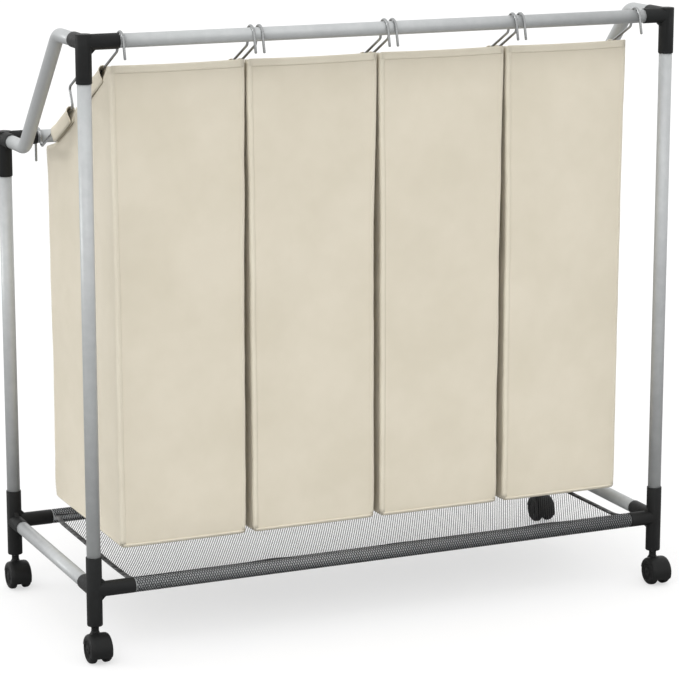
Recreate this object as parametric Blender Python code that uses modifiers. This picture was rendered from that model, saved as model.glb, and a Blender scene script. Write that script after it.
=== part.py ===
"""Four-bag laundry sorter on casters.

A push-fit steel tube frame on four hooded twin-wheel casters. The front top rail is higher than the rear
one, and four open fabric bags hang between the two on wire hangers. A net shelf spans the bottom rails.

Frame: +X along the row of bags, +Y from the high front rail to the low rear rail, +Z up. The origin is on
the floor, under the middle of the whole sorter. All sizes are in metres.
"""

import math

import bmesh
import bpy
from mathutils import Matrix, Vector

# Frame
POST_SPAN_X = 0.826  # between post axes, along the row of bags
POST_SPAN_Y = 0.344  # between post axes, front to rear
BOTTOM_RAIL_Z = 0.094
HIGH_RAIL_Z = 0.797
RAIL_STEP = 0.165  # the rear top rail's axis below the front one's
TUBE_RADIUS = 0.009
TUBE_WALL = 0.001
TUBE_RINGS = 6  # bevel resolution: 16 sides
SIDE_RAIL_FRONT = 0.099  # level run of a top side rail behind the front post axis
SIDE_RAIL_REAR = 0.0925  # its level run in front of the rear post axis
SIDE_RAIL_BEND = 0.027
TUBE_ARC_STEP = math.radians(24)

# Push-fit connectors
GAP = 0.0003  # clearance between pieces that touch
UPRIGHT_WALL = 0.00095
ARM_WALL = 0.00075  # thinner, so that the arms blend into the upright
SOCKET_STOP = 0.0115  # solid core between the post axis and the end of each socket
TOP_LONG_ARM = 0.0455
TOP_SHORT_ARM = 0.036
TOP_LEG = 0.0515
BOTTOM_LONG_ARM = 0.054
BOTTOM_SHORT_ARM = 0.040
BOTTOM_LEG = 0.0477
BOTTOM_COLLAR = 0.044  # height of the post socket above the rail axis
GUSSET = 0.0095
GUSSET_THICKNESS = 0.005
CONNECTOR_SIDES = 16

# Casters
WHEEL_RADIUS = 0.0185
WHEEL_WIDTH = 0.0097
WHEEL_SIDES = 20
WHEEL_CHAMFER = 0.0015
WHEEL_DISH = 0.0012
WHEEL_RIM = 0.0045
CASTER_TRAIL = 0.011  # the axle's offset from the swivel axis, towards the front
WEB_THICKNESS = 0.0092
WHEEL_SIDE_GAP = 0.0006
HOOD_CLEARANCE = 0.0008
HOOD_WALL = 0.0012
HOOD_FROM = math.radians(12)
HOOD_TO = math.radians(204)
HOOD_STEPS = 10
WEB_STEPS = 12
WEB_DROP = math.radians(24)  # how far below the axle's level the web reaches
NECK_RADIUS = 0.005
STEM_RADIUS = 0.004
STEM_INSERT = 0.026  # length of stem inside the connector's leg
STEM_FLANGE = 0.0015
PIVOT_RADIUS = 0.0027
PIVOT_LENGTH = 0.0185
PIVOT_SIDES = 12
AXLE_RADIUS = 0.002
AXLE_BORE_DEPTH = 0.0082

# Bags
BAG_COUNT = 4
BAG_GAP = 0.0055
BAG_SETBACK = 0.0295  # front panel behind the front rail axis
BAG_REAR_GAP = 0.0415  # rear panel in front of the rear rail axis
BAG_LIFT = 0.0415  # bag floor above the bottom rail axis
BAG_FRONT_DROP = 0.035  # front panel's top edge below the high rail axis
BAG_REAR_DROP = 0.008  # rear panel's top edge below the low rail axis
FABRIC = 0.0015
TUNNEL_FRONT_INSET = 0.0355  # front end of the hanger tunnels behind the front panel
TUNNEL_REAR_INSET = 0.0355
GRIP_LENGTH = 0.064  # the open stretch between the two tunnels of a side
GRIP_DEPTH = 0.022
BOARD_THICKNESS = 0.003
BOARD_MARGIN = 0.001

# Wire hangers
WIRE_RADIUS = 0.00175
WIRE_RINGS = 2  # bevel resolution: 8 sides
HOOK_GAP = 0.0005
HOOK_ARM_GAP = 0.0008  # between the outer hooks and the ends of the connectors' long arms
TUNNEL_GAP = 0.0005
FLAP = 0.0008  # fabric left outside the hanger's channel
LINE_DROP = 0.014  # the straight run's ends below each rail axis
FRONT_TAIL = 0.026
FRONT_TAIL_SLANT = math.radians(14)
REAR_TAIL = 0.036
HANDLE_RISE = 0.028
HANDLE_INSET = 0.007
WIRE_BEND = 0.006
WIRE_ARC_STEP = math.radians(60)
HOOK_ARC_STEP = math.radians(30)

# Net shelf
NET = 0.0012
NET_END_GAP = 0.001
NET_SAG = 0.004
NET_SIDES = 20
NET_SPAN_STEPS = 6

# Derived places
HOOD_RADIUS = WHEEL_RADIUS + HOOD_CLEARANCE + HOOD_WALL
HOOK_RADIUS = TUBE_RADIUS + HOOK_GAP + WIRE_RADIUS
FRONT_REACH = CASTER_TRAIL + HOOD_RADIUS
REAR_REACH = HOOK_RADIUS + WIRE_RADIUS
FRONT_Y = (FRONT_REACH - REAR_REACH - POST_SPAN_Y) / 2
REAR_Y = FRONT_Y + POST_SPAN_Y
LOW_RAIL_Z = HIGH_RAIL_Z - RAIL_STEP
LEFT_X = -POST_SPAN_X / 2
RIGHT_X = POST_SPAN_X / 2
SOCKET_RADIUS = TUBE_RADIUS + GAP
CONNECTOR_RADIUS = SOCKET_RADIUS + UPRIGHT_WALL
ARM_RADIUS = SOCKET_RADIUS + ARM_WALL
TUBE_END = SOCKET_STOP + GAP
AXLE_Z = WHEEL_RADIUS * math.cos(math.pi / WHEEL_SIDES)
LEG_END_Z = BOTTOM_RAIL_Z - BOTTOM_LEG
FLANGE_TOP_Z = LEG_END_Z - GAP
NECK_TOP_Z = FLANGE_TOP_Z - STEM_FLANGE - GAP
HANGER_INSET = FLAP + TUNNEL_GAP + WIRE_RADIUS
ROW_MARGIN = TOP_LONG_ARM + HOOK_ARM_GAP + WIRE_RADIUS - HANGER_INSET
BAG_WIDTH = (POST_SPAN_X - 2 * ROW_MARGIN - (BAG_COUNT - 1) * BAG_GAP) / BAG_COUNT
BAG_PITCH = BAG_WIDTH + BAG_GAP
BAG_DEPTH = POST_SPAN_Y - BAG_SETBACK - BAG_REAR_GAP
BAG_FLOOR_Z = BOTTOM_RAIL_Z + BAG_LIFT
BAG_FRONT_Y = FRONT_Y + BAG_SETBACK
BAG_REAR_Y = BAG_FRONT_Y + BAG_DEPTH
HANGER_X = BAG_WIDTH / 2 - HANGER_INSET
TUNNEL_FRONT = BAG_SETBACK + TUNNEL_FRONT_INSET
TUNNEL_REAR = BAG_SETBACK + BAG_DEPTH - TUNNEL_REAR_INSET
GRIP_MIDDLE = (TUNNEL_FRONT + TUNNEL_REAR) / 2
GRIP_FROM = GRIP_MIDDLE - GRIP_LENGTH / 2
GRIP_TO = GRIP_MIDDLE + GRIP_LENGTH / 2
CHANNEL_HALF = WIRE_RADIUS + TUNNEL_GAP
LINE_FRONT = Vector((0, FRONT_Y + HOOK_RADIUS, HIGH_RAIL_Z - LINE_DROP))
LINE_REAR = Vector((0, REAR_Y - HOOK_RADIUS, LOW_RAIL_Z - LINE_DROP))
LINE_TILT = math.atan2(LINE_FRONT.z - LINE_REAR.z, LINE_REAR.y - LINE_FRONT.y)

# Plane placements: a flat outline drawn in XY is turned to stand in the YZ or XZ plane
STAND_YZ = Matrix.Rotation(math.pi / 2, 4, "Z") @ Matrix.Rotation(math.pi / 2, 4, "X")
STAND_XZ = Matrix.Rotation(math.pi / 2, 4, "X")
TURN_Z_TO_X = Matrix.Rotation(math.pi / 2, 4, "Y")


def clear_scene():
    for obj in list(bpy.data.objects):
        bpy.data.objects.remove(obj, do_unlink=True)


def new_collection(name):
    collection = bpy.data.collections.new(name)
    bpy.context.scene.collection.children.link(collection)
    return collection


clear_scene()
SORTER = new_collection("laundry_sorter")
CUTTERS = new_collection("cutters")
CUTTERS.hide_render = True


def linear(value):
    """One sRGB channel, 0 to 255, as a linear value."""
    share = value / 255
    return share / 12.92 if share <= 0.04045 else ((share + 0.055) / 1.055) ** 2.4


def make_material(name, colour, roughness, metallic):
    material = bpy.data.materials.new(name)
    material.use_nodes = True
    shader = material.node_tree.nodes["Principled BSDF"]
    shader.inputs["Base Color"].default_value = (*[linear(c) for c in colour], 1)
    shader.inputs["Roughness"].default_value = roughness
    shader.inputs["Metallic"].default_value = metallic
    return material


TUBE_FINISH = make_material("satin_silver_tube", (190, 192, 192), 0.35, 0.8)
WIRE_FINISH = make_material("plated_wire", (176, 178, 178), 0.3, 0.9)
PIN_FINISH = make_material("steel_pin", (160, 160, 162), 0.35, 1.0)
PLASTIC = make_material("black_plastic", (40, 40, 41), 0.5, 0.0)
TREAD = make_material("wheel_plastic", (30, 30, 31), 0.55, 0.0)
CREAM = make_material("cream_fabric", (219, 211, 192), 0.95, 0.0)
BOARD = make_material("grey_board", (120, 116, 108), 0.9, 0.0)
NETTING = make_material("black_net", (45, 46, 48), 0.9, 0.0)


def add_object(name, data, material=None, helper=False):
    """A new object in the sorter's collection or, for a helper, hidden among the cutters."""
    obj = bpy.data.objects.new(name, data)
    (CUTTERS if helper else SORTER).objects.link(obj)
    if material:
        obj.data.materials.clear()
        obj.data.materials.append(material)
    if helper:
        obj.hide_render = True
        obj.display_type = "WIRE"
    return obj


def add_pivot(name, location, parent=None):
    """An empty on a joint's axis, which the moving pieces are parented to."""
    pivot = bpy.data.objects.new(name, None)
    SORTER.objects.link(pivot)
    pivot.empty_display_size = 0.02
    pivot.location = location
    if parent:
        pivot.parent = parent
        pivot.matrix_parent_inverse = Matrix.Translation(-parent.location)
    return pivot


def attach(obj, pivot):
    """Parents the object to the empty and leaves it where it is in the world."""
    obj.parent = pivot
    obj.matrix_parent_inverse = Matrix.Translation(-pivot.location)


def evaluated_mesh(obj):
    """The object's mesh with its modifiers or its curve settings applied."""
    bpy.context.view_layer.update()
    return bpy.data.meshes.new_from_object(obj.evaluated_get(bpy.context.evaluated_depsgraph_get()))


def tidy_mesh(mesh, matrix=None):
    """Welds the mesh, moves it by the matrix and turns its faces outwards."""
    shape = bmesh.new()
    shape.from_mesh(mesh)
    bmesh.ops.remove_doubles(shape, verts=shape.verts, dist=0.00001)
    if matrix:
        bmesh.ops.transform(shape, matrix=matrix, verts=shape.verts)
    bmesh.ops.recalc_face_normals(shape, faces=shape.faces)
    shape.to_mesh(mesh)
    shape.free()
    return mesh


def baked(obj):
    """The finished mesh of a helper object, which is then removed."""
    mesh = tidy_mesh(evaluated_mesh(obj))
    mesh.name = obj.name
    bpy.data.objects.remove(obj)
    return mesh


def smooth(obj):
    obj.data.shade_smooth()
    obj.data.set_sharp_from_angle(angle=math.radians(40))
    return obj


def curve_mesh(name, loops, dimensions="2D", extrude=0.0, bevel=0.0, rings=0, capped=True):
    """The mesh of a poly curve: closed loops filled and extruded, or an open route given a round section."""
    curve = bpy.data.curves.new(name, "CURVE")
    curve.dimensions = dimensions
    if dimensions == "2D":
        curve.fill_mode = "BOTH"
        curve.extrude = extrude
    else:
        curve.fill_mode = "FULL"
        curve.bevel_depth = bevel
        curve.bevel_resolution = rings
        curve.use_fill_caps = capped
    for loop in loops:
        spline = curve.splines.new("POLY")
        spline.points.add(len(loop) - 1)
        for point, place in zip(spline.points, loop):
            point.co = (*place, 1) if len(place) == 3 else (*place, 0, 1)
        spline.use_cyclic_u = dimensions == "2D"
    guide = bpy.data.objects.new(name, curve)
    CUTTERS.objects.link(guide)
    mesh = evaluated_mesh(guide)
    bpy.data.objects.remove(guide)
    return mesh


def plate(name, loops, thickness, matrix, material=None, helper=False):
    """A flat outline, with its holes, extruded to both sides of its plane."""
    mesh = curve_mesh(name, loops, extrude=thickness / 2)
    return add_object(name, tidy_mesh(mesh, matrix), material, helper)


def arc(centre, radius, start, end, steps):
    """Points of a plane arc, both ends included."""
    return [
        (
            centre[0] + radius * math.cos(start + (end - start) * step / steps),
            centre[1] + radius * math.sin(start + (end - start) * step / steps),
        )
        for step in range(steps + 1)
    ]


def circle(centre, radius, sides):
    return arc(centre, radius, 0, 2 * math.pi, sides)[:-1]


def rounded_route(corners, default_step):
    """Points of an open route. Each corner is (place, radius, arc step or None), and the ends have radius 0."""
    points = [corners[0][0]]
    for before, (place, radius, step), after in zip(corners, corners[1:], corners[2:]):
        back = (before[0] - place).normalized()
        onward = (after[0] - place).normalized()
        between = back.angle(onward)
        turn = math.pi - between
        centre = place + (back + onward).normalized() * radius / math.sin(between / 2)
        spoke = place + back * radius / math.tan(between / 2) - centre
        axis = onward.cross(back).normalized()
        count = math.ceil(turn / (step or default_step) - 0.01)
        for index in range(count + 1):
            point = centre + Matrix.Rotation(turn * index / count, 3, axis) @ spoke
            if (point - points[-1]).length > 0.0002:
                points.append(point)
    points.append(corners[-1][0])
    return points


def cylinder(name, radius, length, matrix, sides, material=None, helper=False):
    """A closed cylinder along its own Z, centred on the matrix's origin, with a flat facing +X and -X."""
    shape = bmesh.new()
    flat = Matrix.Rotation(math.pi / sides, 4, "Z")
    bmesh.ops.create_cone(
        shape,
        cap_ends=True,
        segments=sides,
        radius1=radius,
        radius2=radius,
        depth=length,
        matrix=matrix @ flat,
    )
    mesh = bpy.data.meshes.new(name)
    shape.to_mesh(mesh)
    shape.free()
    return add_object(name, mesh, material, helper)


def block(name, size, matrix, material=None, helper=False):
    """A box of the given size, centred on the matrix's origin."""
    shape = bmesh.new()
    bmesh.ops.create_cube(shape, size=1, matrix=matrix @ Matrix.Diagonal((*size, 1)))
    mesh = bpy.data.meshes.new(name)
    shape.to_mesh(mesh)
    shape.free()
    return add_object(name, mesh, material, helper)


def combine(obj, operation, others):
    """Adds a Boolean for each of the other objects."""
    for other in others:
        boolean = obj.modifiers.new(operation.lower() + "_" + other.name, "BOOLEAN")
        boolean.operation = operation
        boolean.solver = "EXACT"
        boolean.object = other
    return obj


def shaped(obj, joined, cut):
    """The mesh of the object with the joined helpers added and the cut ones taken away; removes them all."""
    combine(obj, "UNION", joined)
    combine(obj, "DIFFERENCE", cut)
    mesh = baked(obj)
    for helper in (*joined, *cut):
        bpy.data.objects.remove(helper)
    return mesh


def turned(name, profile, sides, phase=0.0):
    """A mesh turned about Z. The profile of (radius, height) runs down the outer side, top to bottom."""
    mesh = bpy.data.meshes.new(name)
    verts = [(r * math.cos(phase), r * math.sin(phase), z) for r, z in profile]
    mesh.from_pydata(verts, [(i, i + 1) for i in range(len(verts) - 1)], [])
    obj = add_object(name, mesh, helper=True)
    screw = obj.modifiers.new("turn", "SCREW")
    screw.steps = sides
    screw.render_steps = sides
    screw.use_merge_vertices = True
    screw.merge_threshold = 0.00001
    return baked(obj)


def tube(name, corners):
    """A hollow steel tube along a route of (place, bend radius) corners."""
    route = rounded_route([(Vector(place), bend, None) for place, bend in corners], TUBE_ARC_STEP)
    mesh = curve_mesh(name, [route], "3D", bevel=TUBE_RADIUS, rings=TUBE_RINGS, capped=False)
    obj = add_object(name, tidy_mesh(mesh), TUBE_FINISH)
    wall = obj.modifiers.new("wall", "SOLIDIFY")
    wall.thickness = TUBE_WALL
    wall.offset = -1
    return smooth(obj)


def build_tubes():
    """The posts, the rails along X and the side rails, each ending in its connectors' sockets."""
    for side, x in (("left", LEFT_X), ("right", RIGHT_X)):
        for place, y, top in (("front", FRONT_Y, HIGH_RAIL_Z), ("rear", REAR_Y, LOW_RAIL_Z)):
            foot = (x, y, BOTTOM_RAIL_Z + TUBE_END)
            tube(f"{place}_{side}_post", [(foot, 0), ((x, y, top - TUBE_END), 0)])
        front = FRONT_Y + TUBE_END
        rear = REAR_Y - TUBE_END
        tube(f"bottom_{side}_rail", [((x, front, BOTTOM_RAIL_Z), 0), ((x, rear, BOTTOM_RAIL_Z), 0)])
        tube(
            f"top_{side}_side_rail",
            [
                ((x, front, HIGH_RAIL_Z), 0),
                ((x, FRONT_Y + SIDE_RAIL_FRONT, HIGH_RAIL_Z), SIDE_RAIL_BEND),
                ((x, REAR_Y - SIDE_RAIL_REAR, LOW_RAIL_Z), SIDE_RAIL_BEND),
                ((x, rear, LOW_RAIL_Z), 0),
            ],
        )
    long_rails = (
        ("high_top_rail", FRONT_Y, HIGH_RAIL_Z),
        ("low_top_rail", REAR_Y, LOW_RAIL_Z),
        ("bottom_front_rail", FRONT_Y, BOTTOM_RAIL_Z),
        ("bottom_rear_rail", REAR_Y, BOTTOM_RAIL_Z),
    )
    for name, y, z in long_rails:
        tube(name, [((LEFT_X + TUBE_END, y, z), 0), ((RIGHT_X - TUBE_END, y, z), 0)])


def arm_matrix(turn, distance):
    """Places a shape made along Z so that it lies level, pointing along X turned about Z."""
    return Matrix.Rotation(turn, 4, "Z") @ Matrix.Translation((distance, 0, 0)) @ TURN_Z_TO_X


def connector_mesh(name, arms, leg, collar, stem_bore):
    """A three-way or four-way push-fit corner with its sockets, made with the post axis on Z.

    The collar is the post socket above the rail axis. With none, the top is closed flush with the arms.
    """
    top = collar or CONNECTOR_RADIUS
    upright = Matrix.Translation((0, 0, (top - leg) / 2))
    body = cylinder(name, CONNECTOR_RADIUS, top + leg, upright, CONNECTOR_SIDES, helper=True)
    joined = []
    cut = []
    root = CONNECTOR_RADIUS / 2
    tip = CONNECTOR_RADIUS + GUSSET
    for turn, length in arms:
        middle = arm_matrix(turn, length / 2)
        joined.append(cylinder("arm", ARM_RADIUS, length, middle, CONNECTOR_SIDES, helper=True))
        for rise in (1, -1) if collar else (-1,):
            outline = [(root, rise * root), (tip, rise * root), (root, rise * tip)]
            place = Matrix.Rotation(turn, 4, "Z") @ STAND_XZ
            joined.append(plate("gusset", [outline], GUSSET_THICKNESS, place, helper=True))
        mouth = arm_matrix(turn, SOCKET_STOP + length / 2)
        cut.append(cylinder("socket", SOCKET_RADIUS, length, mouth, CONNECTOR_SIDES, helper=True))
    if collar:
        centre = Matrix.Translation((0, 0, SOCKET_STOP + collar / 2))
        cut.append(cylinder("post_socket", SOCKET_RADIUS, collar, centre, CONNECTOR_SIDES, helper=True))
    else:
        centre = Matrix.Translation((0, 0, -SOCKET_STOP - leg / 2))
        cut.append(cylinder("post_socket", SOCKET_RADIUS, leg, centre, CONNECTOR_SIDES, helper=True))
    if stem_bore:
        depth = STEM_INSERT + GAP
        centre = Matrix.Translation((0, 0, -leg))
        cut.append(cylinder("stem_bore", STEM_RADIUS + GAP, 2 * depth, centre, PIVOT_SIDES, helper=True))
    return shaped(body, joined, cut)


def build_connectors():
    """Eight corners from four mouldings: the rear ones mirror the front ones, and the right ones are turned."""
    levels = (
        ("top", TOP_LONG_ARM, TOP_SHORT_ARM, TOP_LEG, 0, False),
        ("bottom", BOTTOM_LONG_ARM, BOTTOM_SHORT_ARM, BOTTOM_LEG, BOTTOM_COLLAR, True),
    )
    for level, long_arm, short_arm, leg, collar, stem_bore in levels:
        for place, y, hand in (("front", FRONT_Y, 1), ("rear", REAR_Y, -1)):
            arms = ((0, long_arm), (hand * math.pi / 2, short_arm))
            mesh = connector_mesh(f"{level}_{place}_connector", arms, leg, collar, stem_bore)
            height = BOTTOM_RAIL_Z
            if level == "top":
                height = HIGH_RAIL_Z if place == "front" else LOW_RAIL_Z
            for side, x, turn in (("left", LEFT_X, 0), ("right", RIGHT_X, hand * math.pi / 2)):
                corner = add_object(f"{level}_{place}_{side}_connector", mesh, PLASTIC)
                corner.location = (x, y, height)
                corner.rotation_euler = (0, 0, turn)
                smooth(corner)


def stem_mesh():
    """The caster's steel stem: a shaft in the connector's leg, a flange under it and a thinner pivot."""
    top = LEG_END_Z + STEM_INSERT
    flange_end = FLANGE_TOP_Z - STEM_FLANGE
    profile = [
        (0, top),
        (STEM_RADIUS, top),
        (STEM_RADIUS, FLANGE_TOP_Z),
        (NECK_RADIUS, FLANGE_TOP_Z),
        (NECK_RADIUS, flange_end),
        (PIVOT_RADIUS, flange_end),
        (PIVOT_RADIUS, flange_end - PIVOT_LENGTH),
        (0, flange_end - PIVOT_LENGTH),
    ]
    return turned("caster_stem", profile, PIVOT_SIDES)


def housing_mesh():
    """The caster's black housing: a web between the wheels, a hood over them and a neck round the pivot."""
    axle = (-CASTER_TRAIL, AXLE_Z)
    web_arc = arc(axle, HOOD_RADIUS, -WEB_DROP, math.pi + WEB_DROP, WEB_STEPS)
    axle_hole = circle(axle, AXLE_RADIUS + GAP, PIVOT_SIDES)
    web = plate("caster_housing", [web_arc, axle_hole], WEB_THICKNESS, STAND_YZ, helper=True)
    outer = arc(axle, HOOD_RADIUS, HOOD_FROM, HOOD_TO, HOOD_STEPS)
    inner = arc(axle, HOOD_RADIUS - HOOD_WALL, HOOD_TO, HOOD_FROM, HOOD_STEPS)
    width = WEB_THICKNESS + 2 * (WHEEL_WIDTH + WHEEL_SIDE_GAP)
    hood = plate("hood", [outer + inner], width, STAND_YZ, helper=True)
    neck_height = NECK_TOP_Z - AXLE_Z - WHEEL_RADIUS / 2
    neck_middle = Matrix.Translation((0, 0, NECK_TOP_Z - neck_height / 2))
    neck = cylinder("neck", NECK_RADIUS, neck_height, neck_middle, CONNECTOR_SIDES, helper=True)
    bore = cylinder(
        "pivot_bore",
        PIVOT_RADIUS + GAP,
        2 * (PIVOT_LENGTH + GAP),
        Matrix.Translation((0, 0, NECK_TOP_Z)),
        PIVOT_SIDES,
        helper=True,
    )
    return shaped(web, [hood, neck], [bore])


def wheel_mesh():
    """One wheel with its axis on Z: a chamfered tread, a dished outer face at the top and a blind axle bore."""
    half = WHEEL_WIDTH / 2
    bore = AXLE_RADIUS + GAP
    profile = [
        (0, half - WHEEL_DISH),
        (WHEEL_RADIUS - WHEEL_RIM, half - WHEEL_DISH),
        (WHEEL_RADIUS - WHEEL_RIM, half),
        (WHEEL_RADIUS - WHEEL_CHAMFER, half),
        (WHEEL_RADIUS, half - WHEEL_CHAMFER),
        (WHEEL_RADIUS, -half),
        (bore, -half),
        (bore, AXLE_BORE_DEPTH - half),
        (0, AXLE_BORE_DEPTH - half),
    ]
    return turned("caster_wheel", profile, WHEEL_SIDES, phase=math.pi / WHEEL_SIDES)


def build_casters():
    """Under each post: a fixed stem, a housing that swivels on it, and two wheels that roll on its axle."""
    stem = stem_mesh()
    housing = housing_mesh()
    wheel = wheel_mesh()
    inner_half = WEB_THICKNESS / 2 + WHEEL_SIDE_GAP
    wheel_offset = inner_half + WHEEL_WIDTH / 2
    axle_length = 2 * (inner_half + AXLE_BORE_DEPTH - GAP)
    for place, y in (("front", FRONT_Y), ("rear", REAR_Y)):
        for side, x in (("left", LEFT_X), ("right", RIGHT_X)):
            caster = f"{place}_{side}_caster"
            fixed = add_object(f"{caster}_stem", stem, PIN_FINISH)
            fixed.location = (x, y, 0)
            smooth(fixed)
            swivel = add_pivot(f"{caster}_swivel", (x, y, 0))
            hood = add_object(f"{caster}_housing", housing, PLASTIC)
            hood.location = (x, y, 0)
            attach(smooth(hood), swivel)
            axle_place = Vector((x, y - CASTER_TRAIL, AXLE_Z))
            along_x = Matrix.Translation(axle_place) @ TURN_Z_TO_X
            axle = cylinder(f"{caster}_axle", AXLE_RADIUS, axle_length, along_x, PIVOT_SIDES, PIN_FINISH)
            attach(smooth(axle), swivel)
            roll = add_pivot(f"{caster}_roll", axle_place, swivel)
            for name, hand in (("left", -1), ("right", 1)):
                tread = add_object(f"{caster}_{name}_wheel", wheel, TREAD)
                tread.location = axle_place + Vector((hand * wheel_offset, 0, 0))
                tread.rotation_euler = (0, hand * math.pi / 2, 0)
                attach(smooth(tread), roll)


def line_point(depth):
    """The point of the hangers' straight run at this depth behind the front rail axis."""
    share = (FRONT_Y + depth - LINE_FRONT.y) / (LINE_REAR.y - LINE_FRONT.y)
    return LINE_FRONT.lerp(LINE_REAR, share)


def along_line(depth_from, depth_to, x, lift=0.0):
    """Places a box made along Y on the straight run between two depths, raised square to it by lift."""
    middle = (line_point(depth_from) + line_point(depth_to)) / 2
    place = Matrix.Translation((x, middle.y, middle.z)) @ Matrix.Rotation(-LINE_TILT, 4, "X")
    return place @ Matrix.Translation((0, 0, lift))


def line_length(depth_from, depth_to):
    return (line_point(depth_to) - line_point(depth_from)).length


def bag_outline():
    """The side panel in the YZ plane, anticlockwise from the bottom front corner."""
    lift = (CHANNEL_HALF + FABRIC / 2) / math.cos(LINE_TILT)
    tunnel_rear = line_point(TUNNEL_REAR)
    tunnel_front = line_point(TUNNEL_FRONT)
    return [
        (BAG_FRONT_Y, BAG_FLOOR_Z),
        (BAG_REAR_Y, BAG_FLOOR_Z),
        (BAG_REAR_Y, LOW_RAIL_Z - BAG_REAR_DROP),
        (tunnel_rear.y, tunnel_rear.z + lift),
        (tunnel_front.y, tunnel_front.z + lift),
        (BAG_FRONT_Y, HIGH_RAIL_Z - BAG_FRONT_DROP),
    ]


def bag_mesh():
    """An open-topped bag centred on X = 0, with a hanger tunnel along each side's sloping top edge."""
    bag = plate("bag", [bag_outline()], BAG_WIDTH, STAND_YZ, helper=True)
    shape = bmesh.new()
    shape.from_mesh(bag.data)
    shape.normal_update()
    upper = [face for face in shape.faces if face.normal.z > 0.1]
    bmesh.ops.delete(shape, geom=upper, context="FACES")
    shape.to_mesh(bag.data)
    shape.free()
    shell = bag.modifiers.new("fabric", "SOLIDIFY")
    shell.thickness = FABRIC
    shell.offset = -1
    shell.use_even_offset = True
    shell.use_quality_normals = True
    ridge_half = CHANNEL_HALF + FABRIC
    ridge_outer = HANGER_X + CHANNEL_HALF + FLAP / 2
    ridge_inner = HANGER_X - ridge_half
    ridge_size = (ridge_outer - ridge_inner, line_length(TUNNEL_FRONT, TUNNEL_REAR), 2 * ridge_half)
    channel_size = (2 * CHANNEL_HALF, 2 * BAG_DEPTH, 2 * CHANNEL_HALF)
    tunnels = []
    channels = []
    for side in (-1, 1):
        ridge_x = side * (ridge_outer + ridge_inner) / 2
        ridge = along_line(TUNNEL_FRONT, TUNNEL_REAR, ridge_x)
        tunnels.append(block("tunnel", ridge_size, ridge, helper=True))
        channel = along_line(TUNNEL_FRONT, TUNNEL_REAR, side * HANGER_X)
        channels.append(block("channel", channel_size, channel, helper=True))
    notch_height = GRIP_DEPTH + 2 * ridge_half
    notch_size = (2 * BAG_WIDTH, line_length(GRIP_FROM, GRIP_TO), notch_height)
    notch_lift = 2 * ridge_half - notch_height / 2
    notch = block("grip_notch", notch_size, along_line(GRIP_FROM, GRIP_TO, 0, notch_lift), helper=True)
    return shaped(bag, tunnels, [*channels, notch])


def hanger_mesh():
    """A bag's wire hanger in the plane X = 0: a hook over each rail, a sloping run and a raised handle."""
    crest = HOOK_RADIUS
    slant = FRONT_TAIL_SLANT
    corner_y = HOOK_RADIUS * ((1 - math.sin(slant)) * math.tan(slant) - math.cos(slant))
    tail_start = Vector((0, -HOOK_RADIUS * math.cos(slant), HOOK_RADIUS * math.sin(slant)))
    tail_end = tail_start + FRONT_TAIL * Vector((0, -math.sin(slant), -math.cos(slant)))
    high = Vector((0, FRONT_Y, HIGH_RAIL_Z))
    low = Vector((0, REAR_Y, LOW_RAIL_Z))
    rise = Vector((0, math.sin(LINE_TILT), math.cos(LINE_TILT))) * HANDLE_RISE
    foot_rear = line_point(GRIP_TO - HANDLE_INSET)
    foot_front = line_point(GRIP_FROM + HANDLE_INSET)
    corners = [
        (low + Vector((0, HOOK_RADIUS, -REAR_TAIL)), 0, None),
        (low + Vector((0, HOOK_RADIUS, crest)), HOOK_RADIUS, HOOK_ARC_STEP),
        (low + Vector((0, -HOOK_RADIUS, crest)), HOOK_RADIUS, HOOK_ARC_STEP),
        (LINE_REAR, WIRE_BEND, None),
        (foot_rear, WIRE_BEND, None),
        (foot_rear + rise, WIRE_BEND, None),
        (foot_front + rise, WIRE_BEND, None),
        (foot_front, WIRE_BEND, None),
        (LINE_FRONT, WIRE_BEND, None),
        (high + Vector((0, HOOK_RADIUS, crest)), HOOK_RADIUS, HOOK_ARC_STEP),
        (high + Vector((0, corner_y, crest)), HOOK_RADIUS, HOOK_ARC_STEP),
        (high + tail_end, 0, None),
    ]
    route = rounded_route(corners, WIRE_ARC_STEP)
    return tidy_mesh(curve_mesh("hanger", [route], "3D", bevel=WIRE_RADIUS, rings=WIRE_RINGS))


def build_bags():
    """The row of bags, each with its base board and its two wire hangers, parented to a lift-off empty."""
    bag = bag_mesh()
    hanger = hanger_mesh()
    inset = FABRIC + BOARD_MARGIN
    board_size = (BAG_WIDTH - 2 * inset, BAG_DEPTH - 2 * inset, BOARD_THICKNESS)
    board_middle = (BAG_FRONT_Y + BAG_REAR_Y) / 2
    board_z = BAG_FLOOR_Z + FABRIC + GAP + BOARD_THICKNESS / 2
    for index in range(BAG_COUNT):
        name = f"bag_{index + 1}"
        x = (index - (BAG_COUNT - 1) / 2) * BAG_PITCH
        lift_off = add_pivot(f"{name}_lift_off", (x, FRONT_Y, HIGH_RAIL_Z))
        cloth = add_object(f"{name}_fabric", bag, CREAM)
        cloth.location.x = x
        attach(cloth, lift_off)
        place = Matrix.Translation((x, board_middle, board_z))
        attach(block(f"{name}_base_board", board_size, place, BOARD), lift_off)
        for side, hand in (("left", -1), ("right", 1)):
            wire = add_object(f"{name}_{side}_hanger", hanger, WIRE_FINISH)
            wire.location.x = x + hand * HANGER_X
            attach(smooth(wire), lift_off)


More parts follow.
